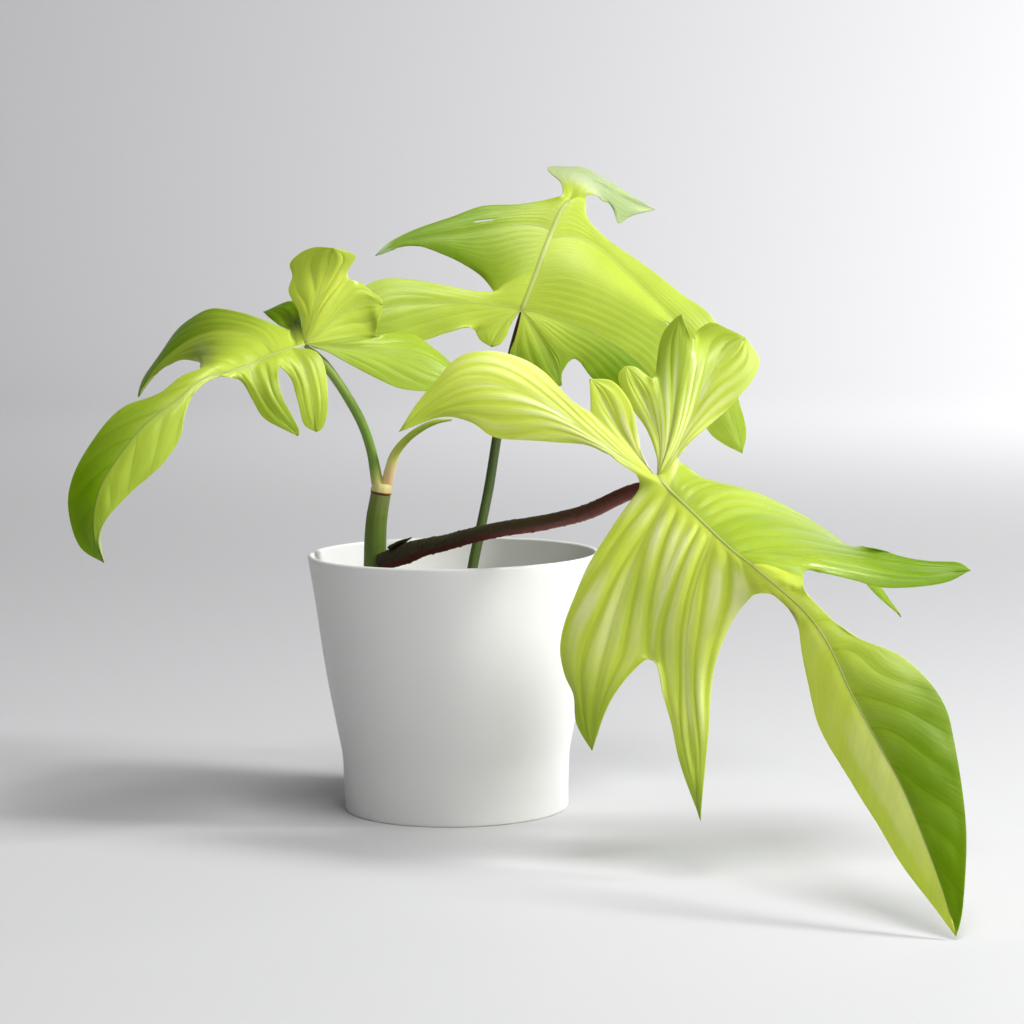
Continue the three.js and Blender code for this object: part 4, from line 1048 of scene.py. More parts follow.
def half_lobe(leaf, i, hand):
    """The grid of one half of a lobe, with rows along its vein and columns from the vein to its
    outer line. The outer line is the valley shared with the next lobe as far as the notch, then
    the free margin. Returns the points, and for each the distances along and across in
    millimetres, the distance to the free margin and the fraction of the vein."""
    lobe = leaf["lobes"][i]
    k = i if hand < 0 else i - 1
    gap = leaf["gaps"][k] if 0 <= k < len(leaf["gaps"]) else None
    point, normal, _ = leaf["frames"][i]
    curve = leaf["curves"][i]
    places = row_places(lobe["rows"])
    joined = gap["rows"] if gap else 0
    start = np.asarray(gap["at"], float) if gap else point[0]
    reach = gap["reach"][0 if hand < 0 else 1] if gap else 0
    free = np.clip((places - joined) / (lobe["rows"] - joined), 0, 1)
    outer = margin_points(lobe, curve, hand, start, reach, free)
    columns = COLUMNS
    ridge = np.zeros(len(places))
    if gap:
        root = int(np.argmin(abs(leaf["stops"] - lobe["root"])))
        foot = int(np.argmin(abs(leaf["stops"] - gap["foot"])))
        columns = max(COLUMNS, int(np.ceil(COLUMN_POWER * abs(foot - root))))
        inner = int(np.searchsorted(places, joined - 1e-9)) + 1
        outer[:inner], ridge[:inner] = valley(leaf, i, hand, gap, places[:inner] / joined)
    t = (np.arange(columns + 1) / columns) ** COLUMN_POWER
    width = np.linalg.norm(outer - point, axis=1)
    ridge += np.where(places > joined, MARGIN_ARCH * width * np.sin(np.pi * free), 0)
    grid = point[:, None] * (1 - t[:, None]) + outer[:, None] * t[:, None]
    grid = grid + (ridge[:, None] * (t * (1 - t)))[..., None] * normal[:, None]
    first = np.repeat(point[:1], columns + 1, 0)
    if gap:
        first = walk(leaf["rib"], leaf["stops"][np.round(root + (foot - root) * t).astype(int)])
    fade = np.clip(1 - places / max(joined, 2), 0, 1) ** 2
    grid = grid + fade[:, None, None] * (first - grid[0])[None]
    fraction = leaf["fractions"][i][:, None] + 0 * t
    span = np.linalg.norm(grid[:, -1] - grid[:, 0], axis=1)[:, None]
    edge = np.where((places > joined)[:, None], span * (1 - t), FAR)
    if joined:
        edge = np.minimum(edge, np.linalg.norm(grid - start, axis=-1))
    return grid, lengths(curve)[-1] * fraction, span * t, edge, fraction


# The leaves' relief and tones


def lateral_veins(look, along, across, fraction, fan, seed):
    """The phase of the side veins, which is a whole number on each vein. In a fan they run down
    the lobe from the midrib, evenly spread over its width, and drift slowly outwards. Otherwise
    they leave the main vein at a slant and bend towards the tip."""
    span = across[:, -1:]
    wander = VEIN_WANDER * ripple(along / 11, across / 8, seed)
    if fan:
        return fan * across / np.maximum(span, 1e-6) - look["drift"] * fraction + wander
    slant = np.radians(look["slant"])
    bend = 1 + VEIN_BEND * across / np.maximum(span, 1)
    return (along * np.sin(slant) - across * bend * np.cos(slant)) / look["spacing"] + wander


def lobe_relief(look, hand, turn, pillow, apart, along, across, margin):
    """Heights of a half lobe: pillows between its side veins, which fade out at its vein, valley
    and margin and near the stalk, bell-shaped blisters, waves along its margin, and a groove
    along its vein."""
    inside = smoothstep(*VEIN_FADE, across) * smoothstep(*OUTER_FADE, across[:, -1:] - across)
    inside = inside * smoothstep(*OUTER_FADE, margin)
    near = smoothstep(*STALK_FADE, apart) * smoothstep(*ROOT_FADE, along)
    height = look["quilt"] * pillow * inside * near
    for at_along, at_across, radius, rise in look.get("blisters", {}).get(hand, []):
        away = (along - at_along) ** 2 + (across - at_across) ** 2
        height = height + rise * np.exp(-away / radius**2)
    wave = look["wave"] * np.sin(along / WAVE_LENGTH + turn) * (1 - smoothstep(*WAVE_REACH, margin))
    height = height + wave * smoothstep(*WAVE_START, along)
    groove = GROOVE_DEPTH * np.exp(-((across / GROOVE_WIDTH) ** 2))
    return height - groove * smoothstep(0, 3, along + 1)


def lobe_paleness_and_painted_light(look, hand, seed, pillow, along, across, fraction):
    """How pale a half lobe is: a pale tip, a pale band of painted light beside the vein, and patchy
    painted highlights on the tops of the pillows near its root."""
    pale_tint = look.get("pale", 0) * smoothstep(*look.get("pale_from", PALE_START), fraction)
    share = across / np.maximum(across[:, -1:], 1e-6)
    # Painted light: a pale band beside the vein of one half, which stands in for a whitish highlight and
    # for light on that shaded half.
    painted_light_panel = look.get("painted_light_panel", 0) * (hand > 0)
    painted_light_panel = painted_light_panel * (1 - smoothstep(*PAINTED_PANEL_WIDTH, share + 0.3 * abs(fraction - 0.6)))
    painted_light_panel = painted_light_panel * smoothstep(*PAINTED_PANEL_START, fraction) * (1 - smoothstep(*PAINTED_PANEL_END, fraction))
    # Painted highlight: a patchy whitish sheen painted on the tops of the pillows.
    patchy = 0.55 + 0.45 * ripple(along / 12, across / 7, seed)
    painted_sheen = look.get("painted_sheen", 0) * smoothstep(*PAINTED_SHEEN_HEIGHT, pillow) * np.clip(patchy, 0, 1)
    painted_sheen = painted_sheen * smoothstep(*PAINTED_SHEEN_START, fraction) * (1 - smoothstep(*PAINTED_SHEEN_END, fraction))
    return pale_tint + painted_light_panel + painted_sheen


def half_sheet(leaf, i, hand):
    """One half of a lobe: its points and triangles, and the values for its relief and material."""
    lobe = leaf["lobes"][i]
    look = {**leaf["look"], **lobe["look"]}
    half = 0 if hand < 0 else 1
    grid, along, across, margin, fraction = half_lobe(leaf, i, hand)
    fan = look.get("fan", [0, 0])[half]
    veins = lateral_veins(look, along, across, fraction, fan, 10 * i + hand + 1)
    pillow = np.abs(np.sin(np.pi * veins)) ** PILLOW_POWER - 0.5
    apart = np.linalg.norm(grid - np.asarray(leaf["midrib"][0], float), axis=-1)
    height = lobe_relief(look, hand, 2 * i + hand, pillow, apart, along, across, margin)
    turn = smoothstep(*TONE_TURN, fraction)
    tone = look["young"] + (look["green"][half] - look["young"]) * turn
    tone = tone + look.get("tip", TIP_TONE) * smoothstep(*TIP_START, fraction)
    # The pale value holds the pale tips, the painted highlights on the pillows and the band of painted
    # light.
    pale = lobe_paleness_and_painted_light(look, hand, 10 * i + hand + 60, pillow, along, across, fraction)
    index = np.arange(across.size).reshape(across.shape)
    whole = np.ones((across.shape[0] - 1, across.shape[1] - 1), bool)
    for low, high, column in look.get("slit", {}).get(hand, []):
        whole[low:high, column] = False
    a, b, c, d = (part[whole] for part in (index[:-1, :-1], index[1:, :-1], index[1:, 1:], index[:-1, 1:]))
    triangles = np.vstack([np.stack([a, b, c], -1), np.stack([a, c, d], -1)])
    return {
        "points": grid.reshape(-1, 3),
        "triangles": triangles if hand < 0 else triangles[:, ::-1],
        "phase": np.stack([veins, along / 10], -1).reshape(-1, 2),
        "height": height.ravel(),
        "green": tone.ravel(),
        "pale": pale.ravel(),
        "line": index[:, 0],
    }


def blade_sheet(description):
    """All half lobes of a leaf as one welded sheet, with its values at points and at corners."""
    leaf = laid_out(description)
    halves = [half_sheet(leaf, i, hand) for i in range(len(leaf["lobes"])) for hand in (-1, 1)]
    starts = np.concatenate([[0], np.cumsum([len(half["points"]) for half in halves])])
    raw = np.vstack([half["points"] for half in halves])
    triangles = np.vstack([half["triangles"] + start for half, start in zip(halves, starts)])
    _, first, weld = np.unique(np.round(raw * 1e3), axis=0, return_index=True, return_inverse=True)
    weld = weld.ravel()
    share = np.bincount(weld)
    welded = weld[triangles]
    real = (welded != np.roll(welded, 1, axis=1)).all(1)
    sheet = {
        "points": raw[first],
        "triangles": welded[real],
        "corners": triangles[real],
        "phase": np.vstack([half["phase"] for half in halves]),
        "lines": [weld[half["line"] + start] for half, start in zip(halves[::2], starts[::2])],
        "midrib": nearest(raw[first], walk(leaf["rib"], leaf["stops"])),
    }
    for value in ("height", "green", "pale"):
        sheet[value] = np.bincount(weld, np.concatenate([half[value] for half in halves])) / share
    return sheet


def nearest(points, places):
    """The index of the point nearest to each place."""
    return np.array([int(np.argmin(((points - place) ** 2).sum(1))) for place in places])


# The blades


def gather(index, values, size):
    """The sums of the rows of values that share an index."""
    return np.stack([np.bincount(index, values[:, axis], size) for axis in range(values.shape[1])], -1)


def point_normals(points, triangles):
    """Unit normals at the points: the sum of the cross products of the triangles round each."""
    a, b, c = (points[triangles[:, k]] for k in range(3))
    cross = np.cross(b - a, c - a)
    return unit(gather(triangles.ravel(), np.repeat(cross, 3, axis=0), len(points)))


def relaxed(points, triangles, free, slide, rounds, rate=0.5):
    """Moves the free points towards the mean of their neighbours: along their normals, and by a
    share called slide within the surface, which evens out crowded corners."""
    edges = np.vstack([triangles[:, [0, 1]], triangles[:, [1, 2]], triangles[:, [2, 0]]])
    edges = np.vstack([edges, edges[:, ::-1]])
    edges = np.unique(edges, axis=0)
    count = np.maximum(np.bincount(edges[:, 0], minlength=len(points)), 1)[:, None]
    points = points.copy()
    for _ in range(rounds):
        mean = gather(edges[:, 0], points[edges[:, 1]], len(points)) / count
        normal = point_normals(points, triangles)
        step = mean - points
        rise = (step * normal).sum(1, keepdims=True) * normal
        points += rate * free[:, None] * (rise + slide[:, None] * (step - rise))
    return points


def border(triangles, size):
    """The edges that belong to one triangle only, each in the triangle's direction."""
    edges = np.vstack([triangles[:, [0, 1]], triangles[:, [1, 2]], triangles[:, [2, 0]]])
    key = edges[:, 0] * size + edges[:, 1]
    back = edges[:, 1] * size + edges[:, 0]
    return edges[~np.isin(key, back)]


def shaped(sheet, lobes, relief):
    """The sheet's points: evened out, raised by their heights and smoothed once. The rim stays in
    place, and the midrib and most of the end vein stay where they are within the surface."""
    points, triangles = sheet["points"], sheet["triangles"]
    free = np.ones(len(points))
    free[np.unique(border(triangles, len(points)))] = 0
    slide = np.ones(len(points))
    slide[sheet["midrib"]] = 0
    for line, lobe in zip(sheet["lines"], lobes):
        if lobe["root"] == 1:
            slide[line[: int(HELD_SHARE * len(line))]] = 0
    points = relaxed(points, triangles, free, slide, EVENING_ROUNDS)
    points = points + (sheet["height"] * relief)[:, None] * point_normals(points, triangles)
    return relaxed(points, triangles, free, 0 * slide, 1)


def evened(line, values, step, spread):
    """Values given at the points of a line, taken at even steps along it and smoothed by a bell
    curve of the given spread, with the ends kept."""
    travelled = lengths(line)
    count = max(int(travelled[-1] / step), 4)
    wanted = np.linspace(0, travelled[-1], count + 1)
    even = np.stack([np.interp(wanted, travelled, values[:, k]) for k in range(values.shape[1])], -1)
    apart = wanted[:, None] - wanted[None]
    room = np.minimum(wanted, travelled[-1] - wanted)[:, None]
    weight = np.exp(-((apart / (np.minimum(spread, 0.5 * room) + 0.05)) ** 2))
    return (weight @ even) / weight.sum(1, keepdims=True)


def rib_tube(path, normals, widths, sides):
    """A closed rib along a path on the blade: an ellipse whose top stands a little above it."""
    tangent = unit(np.gradient(path, axis=0))
    normal = unit(normals - (normals * tangent).sum(1, keepdims=True) * tangent)
    side = np.cross(tangent, normal)
    angle = 2 * np.pi * np.arange(sides)[:, None] / sides
    w = np.asarray(widths)[:, None, None]
    oval = np.cos(angle) * side[:, None] + RIB_FLATNESS * np.sin(angle) * normal[:, None]
    ring = path[:, None] - RIB_SINK * w * normal[:, None] + w * oval
    points = ring.reshape(-1, 3)
    faces = [tuple(f) for f in grid_faces(len(path), sides, around=True)]
    faces.append(tuple(np.arange(sides)[::-1]))
    faces.append(tuple(np.arange(sides) + (len(path) - 1) * sides))
    return points, outward(points, faces)


def main_ribs(description, sheet, surface, normals):
    """A rib tube along each main vein, with the midrib in front of the end lobe's. Yields its
    points, its faces, and the sheet's tints for each point."""
    wide = description["look"]["rib"] * np.array([1.0, 0.7])
    values = np.column_stack([surface, normals, sheet["green"], sheet["pale"]])
    for line, lobe in zip(sheet["lines"], description["lobes"]):
        ends = FAN_RIB if "fan" in lobe["look"] else (wide[1], RIB_TIP)
        widths = np.linspace(*ends, len(line))
        if lobe["root"] == 1:
            widths = np.concatenate([np.linspace(wide[0], wide[1], len(sheet["midrib"])), widths])
            line = np.concatenate([sheet["midrib"], line])
        whole = np.concatenate([[True], line[1:] != line[:-1]])
        given = np.column_stack([values[line[whole]], widths[whole]])
        even = evened(surface[line[whole]], given, RIB_STEP, RIB_SPREAD)
        points, faces = rib_tube(even[:, :3], unit(even[:, 3:6]), even[:, 8], RIB_SIDES)
        yield points, faces, np.repeat(even[:, 6:8], RIB_SIDES, axis=0)


def add_blade(name, description, looks):
    """A blade: the welded sheet, evened out so that its lobes flow together and raised between
    its side veins, offset to both sides by half its thickness, with a rib along each main vein."""
    sheet = blade_sheet(description)
    triangles = sheet["triangles"]
    middle = shaped(sheet, description["lobes"], looks.relief)
    normals = point_normals(middle, triangles)
    size = len(middle)
    edges = border(triangles, size)
    half = np.full((size, 1), 0.5 * looks.thickness / MM)
    half[np.unique(edges)] *= RIM_SHARE
    surface = middle + half * normals
    wall = np.stack([edges[:, 1], edges[:, 0], edges[:, 0] + size, edges[:, 1] + size], -1)
    points = [surface, middle - half * normals]
    faces = [tuple(f) for part in (triangles, triangles[:, ::-1] + size, wall) for f in part]
    slots = [0] * len(triangles) + [1] * len(triangles) + [0] * len(wall)
    tints = [np.column_stack([sheet["green"], sheet["pale"]])] * 2
    count = 2 * size
    for rib_points, rib_faces, rib_tints in main_ribs(description, sheet, surface, normals):
        points.append(rib_points)
        tints.append(rib_tints)
        faces += [tuple(np.asarray(f) + count) for f in rib_faces]
        slots += [2] * len(rib_faces)
        count += len(rib_points)
    materials = [blade_upper(looks), blade_under(looks), blade_rib(looks)]
    piece = add_piece(name, np.vstack(points), faces, materials, face_slots=slots, sharp=60)
    tints = np.vstack(tints)
    point_value(piece, "green", tints[:, 0])
    # The pale value carries the painted highlights and the band of painted light, as well as the pale
    # tips.
    point_value(piece, "pale", tints[:, 1])
    corners = sheet["corners"]
    upper = sheet["phase"][corners].reshape(-1, 2)
    under = sheet["phase"][corners[:, ::-1]].reshape(-1, 2)
    rest = np.zeros((len(piece.data.loops) - len(upper) - len(under), 2))
    corner_map(piece, "veins", np.vstack([upper, under, rest]))


# Materials


def new_material(name, **values):
    """A material with one Principled shader, whose constant inputs are set on its sockets."""
    material = bpy.data.materials.new(name)
    material.use_nodes = True
    tree = material.node_tree
    shader = tree.nodes["Principled BSDF"]
    for socket, value in values.items():
        shader.inputs[socket.replace("_", " ")].default_value = value
    return material, tree, shader


def add_node(tree, kind, inputs=(), **settings):
    """A shader node with its settings, and its inputs linked from sockets or set to values."""
    node = tree.nodes.new("ShaderNode" + kind)
    for name, value in settings.items():
        setattr(node, name, value)
    for name, value in dict(inputs).items():
        if isinstance(value, bpy.types.NodeSocket):
            tree.links.new(value, node.inputs[name])
        else:
            node.inputs[name].default_value = value
    return node


def calculate(tree, operation, first, second=0.0):
    """The output of a Math node on two sockets or numbers."""
    return add_node(tree, "Math", {0: first, 1: second}, operation=operation).outputs[0]


def remapped(tree, value, low, high, start=0.0, end=1.0):
    """The output of a Map Range node, which takes low to start and high to end."""
    limits = {"From Min": low, "From Max": high, "To Min": start, "To Max": end}
    return add_node(tree, "MapRange", {"Value": value, **limits}).outputs[0]


def attribute(tree, name):
    """The output of an Attribute node that reads the piece's own value."""
    return add_node(tree, "Attribute", attribute_name=name).outputs["Fac"]


def ramp(tree, factor, stops):
    """The colour output of a Color Ramp with (position, colour) stops."""
    node = add_node(tree, "ValToRGB", {"Fac": factor})
    elements = node.color_ramp.elements
    elements.remove(elements[-1])
    elements[0].position = stops[0][0]
    elements[0].color = (*stops[0][1], 1)
    for position, colour in stops[1:]:
        elements.new(position).color = (*colour, 1)
    return node.outputs["Color"]


def object_noise(tree, scale, detail=3.0, stretch=None):
    """The value of a noise on the object's coordinates, in turns to the metre."""
    place = add_node(tree, "TexCoord").outputs["Object"]
    if stretch:
        place = add_node(tree, "Mapping", {"Vector": place, "Scale": stretch}).outputs["Vector"]
    return add_node(tree, "TexNoise", {"Vector": place, "Scale": scale, "Detail": detail}).outputs["Fac"]


def mixed(tree, factor, first, second, blend="MIX"):
    """The colour output of a Mix node."""
    node = tree.nodes.new("ShaderNodeMix")
    node.data_type = "RGBA"
    node.blend_type = blend
    for index, value in ((0, factor), (6, first), (7, second)):
        if isinstance(value, bpy.types.NodeSocket):
            tree.links.new(value, node.inputs[index])
        else:
            node.inputs[index].default_value = value if index == 0 else (*value, 1)
    return node.outputs[2]


def bump(tree, shader, height, distance, strength=1.0):
    """Joins a height to the shader's normal through a Bump node."""
    node = add_node(tree, "Bump", {"Height": height, "Distance": distance, "Strength": strength})
    tree.links.new(node.outputs["Normal"], shader.inputs["Normal"])


def pot_finish(colour):
    """Matte white, with a very fine tooth."""
    material, tree, shader = new_material("matte_white", Roughness=0.42, Specular_IOR_Level=0.4)
    tone = mixed(tree, object_noise(tree, 18.0), [0.975 * c for c in colour], colour)
    tree.links.new(tone, shader.inputs["Base Color"])
    bump(tree, shader, object_noise(tree, 2200.0, 2.0), 0.00004, 0.5)
    return material


def soil_finish():
    """Dark potting mix with paler crumbs."""
    material, tree, shader = new_material("potting_mix", Roughness=0.95)
    stops = [(0.3, (0.012, 0.008, 0.005)), (0.55, (0.05, 0.032, 0.02)), (0.75, (0.13, 0.09, 0.055))]
    tree.links.new(ramp(tree, object_noise(tree, 260.0, 6.0), stops), shader.inputs["Base Color"])
    bump(tree, shader, object_noise(tree, 900.0, 5.0), 0.0006)
    return material


def stalk_finish(name, stops, under=None, roughness=0.42, streak=0.25, rough_skin=0.0):
    """A fleshy stalk: colours along it, a second colour on its underside, fine streaks."""
    material, tree, shader = new_material(
        name,
        Roughness=roughness,
        Specular_IOR_Level=0.35,
        Subsurface_Weight=0.12,
        Subsurface_Scale=0.002,
        Subsurface_Radius=(0.6, 1.0, 0.2),
    )
    tone = ramp(tree, attribute(tree, "along"), stops)
    if under:
        tone = mixed(tree, remapped(tree, attribute(tree, "around"), -0.15, -0.8), tone, under)
    streaks = object_noise(tree, 900.0, 4.0, (1, 1, 0.05))
    tone = mixed(tree, calculate(tree, "MULTIPLY", streaks, streak), tone, (0.02, 0.03, 0.005))
    tree.links.new(tone, shader.inputs["Base Color"])
    bump(tree, shader, object_noise(tree, 1500.0, 3.0), 0.0001 + rough_skin)
    return material


def blade_tone(tree, young, old):
    """The blade's colour from its tone value, with cloudy patches, and the lines and the fine
    streaks along its side veins."""
    cloud = calculate(tree, "SUBTRACT", object_noise(tree, 28.0, 3.0), 0.5)
    green = attribute(tree, "green")
    value = calculate(tree, "ADD", green, calculate(tree, "MULTIPLY", cloud, 0.5))
    between = [0.5 * (a + b) for a, b in zip(young, old)]
    tone = ramp(tree, value, [(0.0, young), (0.5, between), (1.0, old)])
    # The pale colour is whitish at low tone. Besides the pale tips, it paints the highlights on the
    # pillows and the band of painted light.
    pale_tint = ramp(tree, green, [(0.1, (0.86, 0.9, 0.5)), (0.55, (0.36, 0.45, 0.22))])
    tone = mixed(tree, attribute(tree, "pale"), tone, pale_tint)
    veins = add_node(tree, "UVMap", uv_map="veins").outputs["UV"]
    phase = add_node(tree, "SeparateXYZ", {"Vector": veins}).outputs["X"]
    phase = calculate(tree, "SUBTRACT", calculate(tree, "FRACT", phase), 0.5)
    line = remapped(tree, calculate(tree, "ABSOLUTE", phase), 0.44, 0.5)
    fine = add_node(tree, "Mapping", {"Vector": veins, "Scale": (5.5, 0.5, 1)}).outputs["Vector"]
    streaks = add_node(tree, "TexNoise", {"Vector": fine, "Scale": 1.6, "Detail": 4.0}).outputs["Fac"]
    return tone, line, streaks


def blade_upper(looks):
    """Satin upper face: lime to green, darker along the side veins, finely streaked."""
    material, tree, shader = new_material(
        "blade_upper",
        Specular_IOR_Level=0.42,
        Specular_Tint=(1, 1, 0.75, 1),
        Subsurface_Weight=0.55,
        Subsurface_Scale=0.002,
        Subsurface_Radius=(0.9, 1.0, 0.1),
    )
    tone, line, streaks = blade_tone(tree, list(looks.young), list(looks.old))
    strength = calculate(tree, "ADD", calculate(tree, "MULTIPLY", attribute(tree, "green"), 0.4), 0.06)
    tone = mixed(tree, calculate(tree, "MULTIPLY", line, strength), tone, (0.1, 0.22, 0.004))
    streaked = ramp(tree, streaks, [(0.3, (0.93, 0.94, 0.9)), (0.7, (1, 1, 1))])
    tree.links.new(mixed(tree, 1.0, tone, streaked, "MULTIPLY"), shader.inputs["Base Color"])
    rough = remapped(tree, streaks, 0.0, 1.0, looks.roughness - 0.04, looks.roughness + 0.05)
    tree.links.new(rough, shader.inputs["Roughness"])
    bump(tree, shader, streaks, 0.0001)
    return material


def blade_under(looks):
    """Paler, duller underside."""
    material, tree, shader = new_material(
        "blade_under",
        Roughness=0.55,
        Subsurface_Weight=0.55,
        Subsurface_Scale=0.002,
        Subsurface_Radius=(0.9, 1.0, 0.15),
    )
    young = [0.8 * c + 0.2 * p for c, p in zip(looks.young, looks.pale)]
    old = [0.5 * c + 0.5 * p for c, p in zip(looks.old, looks.pale)]
    tone, line, streaks = blade_tone(tree, young, old)
    tone = mixed(tree, calculate(tree, "MULTIPLY", line, 0.25), tone, looks.pale)
    tree.links.new(tone, shader.inputs["Base Color"])
    bump(tree, shader, streaks, 0.0002)
    return material


def blade_rib(looks):
    """The midrib and the main veins: the blade's tone, a little paler."""
    material, tree, shader = new_material(
        "blade_rib",
        Roughness=0.4,
        Subsurface_Weight=0.4,
        Subsurface_Scale=0.002,
        Subsurface_Radius=(0.9, 1.0, 0.2),
    )
    tone = blade_tone(tree, list(looks.young), list(looks.old))[0]
    tree.links.new(mixed(tree, 0.2, tone, looks.pale), shader.inputs["Base Color"])
    return material


# Stage


def add_floor(stage):
    """A pale floor: flat under and round the plant, rising smoothly far out on all sides in a
    quarter of an ellipse."""
    flat, far, rise, sides = 3.2, 5.2, 3.0, 96
    turn = np.radians(np.linspace(0, 90, 16))[1:]
    radii = np.concatenate([[0.5, 1, 2, flat], flat + (far - flat) * np.sin(turn)])[:, None]
    heights = np.concatenate([[0, 0, 0, 0], rise * (1 - np.cos(turn))])[:, None]
    angle = 2 * np.pi * np.arange(sides) / sides
    ring = np.stack([radii * np.cos(angle), radii * np.sin(angle), np.repeat(heights, sides, 1)], -1)
    points = np.vstack([ring.reshape(-1, 3), [0, 0, 0]])
    k = np.arange(sides)
    middle = np.stack([k, (k + 1) % sides, np.full(sides, len(points) - 1)], -1)
    faces = grid_faces(len(radii), sides, around=True)[:, ::-1].tolist() + middle.tolist()
    mesh = bpy.data.meshes.new("floor")
    mesh.from_pydata(points.tolist(), [], faces)
    mesh.polygons.foreach_set("use_smooth", np.ones(len(mesh.polygons), bool))
    mesh.materials.append(new_material("floor_pale", Roughness=0.6, Base_Color=(*stage.floor, 1))[0])
    floor = bpy.data.objects.new("floor", mesh)
    bpy.context.scene.collection.objects.link(floor)
    floor.visible_shadow = False


def placed(side, up, back, place):
    """The matrix of an object with these three axes, at a place."""
    return Matrix([[side[k], up[k], back[k], place[k]] for k in range(3)] + [[0, 0, 0, 1]])


def add_area(name, place, aim, size, power):
    """A square area light at a place, turned towards a point."""
    light = bpy.data.lights.new(name, "AREA")
    light.size = size
    light.energy = power
    lamp = bpy.data.objects.new(name, light)
    back = unit(np.subtract(place, aim))
    side = unit(np.cross((0, 0, 1), back))
    lamp.matrix_world = placed(side, np.cross(back, side), back, place)
    lamp.visible_camera = False
    bpy.context.scene.collection.objects.link(lamp)


def add_lights(stage):
    """A key from the right, wide soft lights above and in front, one on the backdrop, and a dim sky."""
    key = np.array([0, 0, 0.1]) + KEY_DISTANCE * unit(np.array(KEY_DIRECTION))
    add_area("key", key, (0, 0, 0.1), 0.35, stage.key)
    add_area("top", (0.25, -0.6, 2.2), (0, 0, 0.15), 1.0, stage.top)
    add_area("fill", (0.8, -1.55, 1.0), (0, 0, 0.15), 1.8, stage.fill)
    add_area("wall", (1.65, 2.3, 2.05), (0.85, 4.2, 0.2), 1.2, stage.wall)
    world = bpy.data.worlds.new("world")
    world.use_nodes = True
    sky = world.node_tree.nodes["Background"]
    sky.inputs["Color"].default_value = (0.93, 0.95, 1, 1)
    sky.inputs["Strength"].default_value = 0.02
    bpy.context.scene.world = world
    bpy.context.scene.view_settings.view_transform = "Standard"


def add_camera(stage):
    """The camera, in front and a little above, looking slightly down and rolled a little."""
    pitch, yaw, roll = np.radians(CAMERA_TURN)
    right = np.array([np.cos(yaw), np.sin(yaw), 0])
    level = np.array([-np.sin(yaw), np.cos(yaw), 0])
    ahead = level * np.cos(pitch) - np.array([0, 0, np.sin(pitch)])
    up = level * np.sin(pitch) + np.array([0, 0, np.cos(pitch)])
    side = np.cos(roll) * right - np.sin(roll) * up
    top = np.sin(roll) * right + np.cos(roll) * up
    data = bpy.data.cameras.new("camera")
    data.lens = stage.lens
    data.sensor_width = 36
    data.clip_end = 50
    camera = bpy.data.objects.new("camera", data)
    camera.matrix_world = placed(side, top, -ahead, CAMERA_PLACE)
    bpy.context.scene.collection.objects.link(camera)
    bpy.context.scene.camera = camera


# Operators and panel


class PHILODENDRON_OT_stage(bpy.types.Operator):
    """Sets the pale floor, the soft lights and the camera"""

    bl_idname = "philodendron.stage"
    bl_label = "Set the stage"

    def execute(self, context):
        stage = context.scene.philodendron_stage
        add_floor(stage)
        add_lights(stage)
        add_camera(stage)
        return {"FINISHED"}


class PHILODENDRON_OT_pot(bpy.types.Operator):
    """Builds the pot: a smooth profile turned round the upright axis"""

    bl_idname = "philodendron.pot"
    bl_label = "Build the pot"

    def execute(self, context):
        pot = context.scene.philodendron_pot
        points, faces = turned(pot_profile(pot), POT_SIDES)
        add_piece("pot", points, faces, [pot_finish(list(pot.colour))], sharp=75)
        return {"FINISHED"}


class PHILODENDRON_OT_soil(bpy.types.Operator):
    """Builds the soil: a lumpy plug with crumbs on it"""

    bl_idname = "philodendron.soil"
    bl_label = "Build the soil"

    def execute(self, context):
        points, faces = soil_shape(context.scene.philodendron_pot)
        add_piece("soil", points, faces, [soil_finish()])
        return {"FINISHED"}


class PHILODENDRON_OT_stem(bpy.types.Operator):
    """Builds the stem, its collar, the young sheath and the dried scale"""

    bl_idname = "philodendron.stem"
    bl_label = "Build the stem"

    def execute(self, context):
        add_stem()
        add_collar()
        add_sheath()
        add_dried_scale()
        return {"FINISHED"}


class PHILODENDRON_OT_stalks(bpy.types.Operator):
    """Builds the three leaf stalks"""

    bl_idname = "philodendron.stalks"
    bl_label = "Build the stalks"

    def execute(self, context):
        add_left_stalk()
        add_back_stalk()
        add_front_stalk()
        return {"FINISHED"}


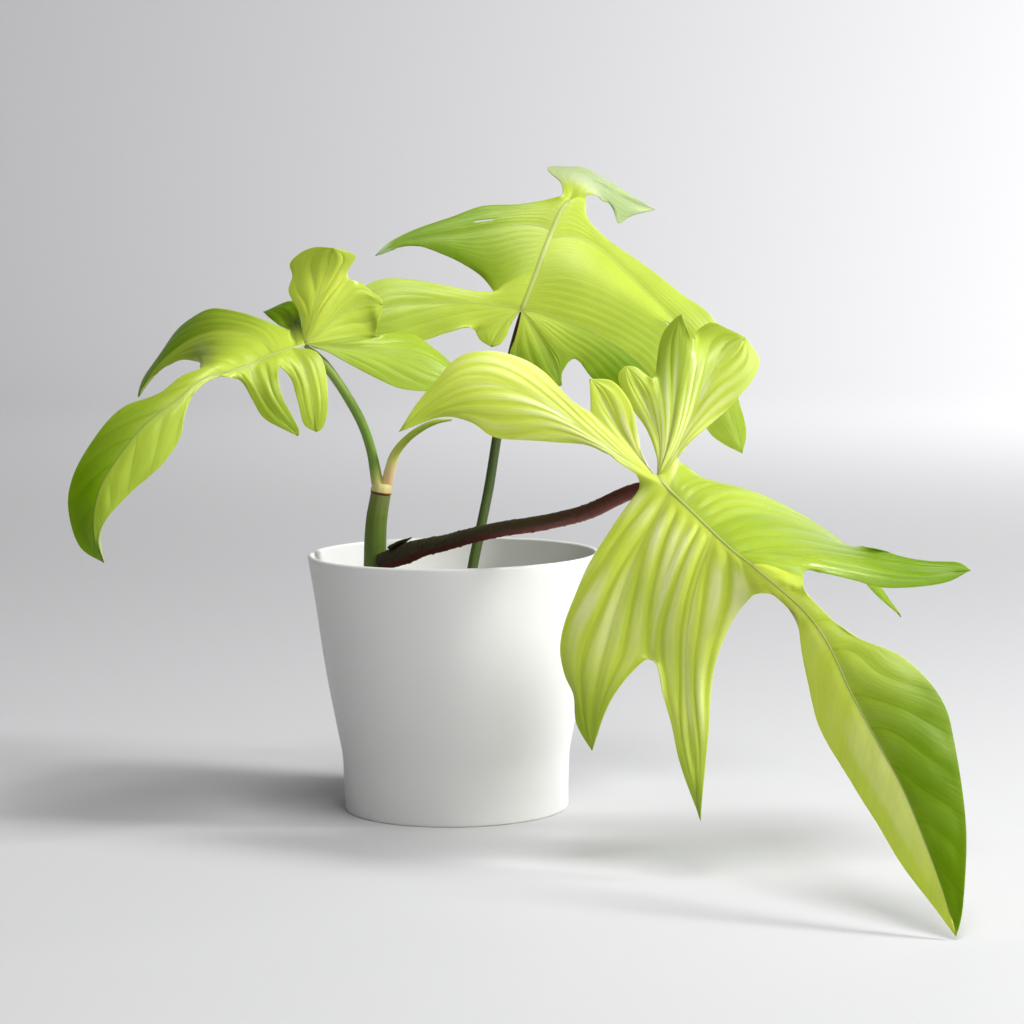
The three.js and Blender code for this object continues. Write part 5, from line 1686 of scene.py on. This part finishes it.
class PHILODENDRON_OT_leaves(bpy.types.Operator):
    """Builds the three leaf blades"""

    bl_idname = "philodendron.leaves"
    bl_label = "Build the leaves"

    def execute(self, context):
        looks = context.scene.philodendron_leaf
        add_blade("front_blade", FRONT_LEAF, looks)
        add_blade("left_blade", LEFT_LEAF, looks)
        add_blade("back_blade", BACK_LEAF, looks)
        return {"FINISHED"}


class PHILODENDRON_PT_panel(bpy.types.Panel):
    """Lists the settings and the operators"""

    bl_idname = "PHILODENDRON_PT_panel"
    bl_label = "Potted Philodendron"
    bl_space_type = "VIEW_3D"
    bl_region_type = "UI"
    bl_category = "Philodendron"

    def draw(self, context):
        for group in (context.scene.philodendron_pot, context.scene.philodendron_leaf,
                      context.scene.philodendron_stage):
            box = self.layout.box()
            for name in group.__annotations__:
                box.prop(group, name)
        for operator in OPERATORS:
            self.layout.operator(operator.bl_idname)


OPERATORS = (
    PHILODENDRON_OT_stage,
    PHILODENDRON_OT_pot,
    PHILODENDRON_OT_soil,
    PHILODENDRON_OT_stem,
    PHILODENDRON_OT_stalks,
    PHILODENDRON_OT_leaves,
)
SETTINGS = (PotSettings, LeafSettings, StageSettings)


def register():
    for each in (*SETTINGS, *OPERATORS, PHILODENDRON_PT_panel):
        bpy.utils.register_class(each)
    bpy.types.Scene.philodendron_pot = bpy.props.PointerProperty(type=PotSettings)
    bpy.types.Scene.philodendron_leaf = bpy.props.PointerProperty(type=LeafSettings)
    bpy.types.Scene.philodendron_stage = bpy.props.PointerProperty(type=StageSettings)


def unregister():
    for name in ("philodendron_pot", "philodendron_leaf", "philodendron_stage"):
        delattr(bpy.types.Scene, name)
    for each in (PHILODENDRON_PT_panel, *OPERATORS[::-1], *SETTINGS[::-1]):
        bpy.utils.unregister_class(each)


def main():
    register()
    bpy.ops.philodendron.stage()
    bpy.ops.philodendron.pot()
    bpy.ops.philodendron.soil()
    bpy.ops.philodendron.stem()
    bpy.ops.philodendron.stalks()
    bpy.ops.philodendron.leaves()


if __name__ == "__main__":
    main()
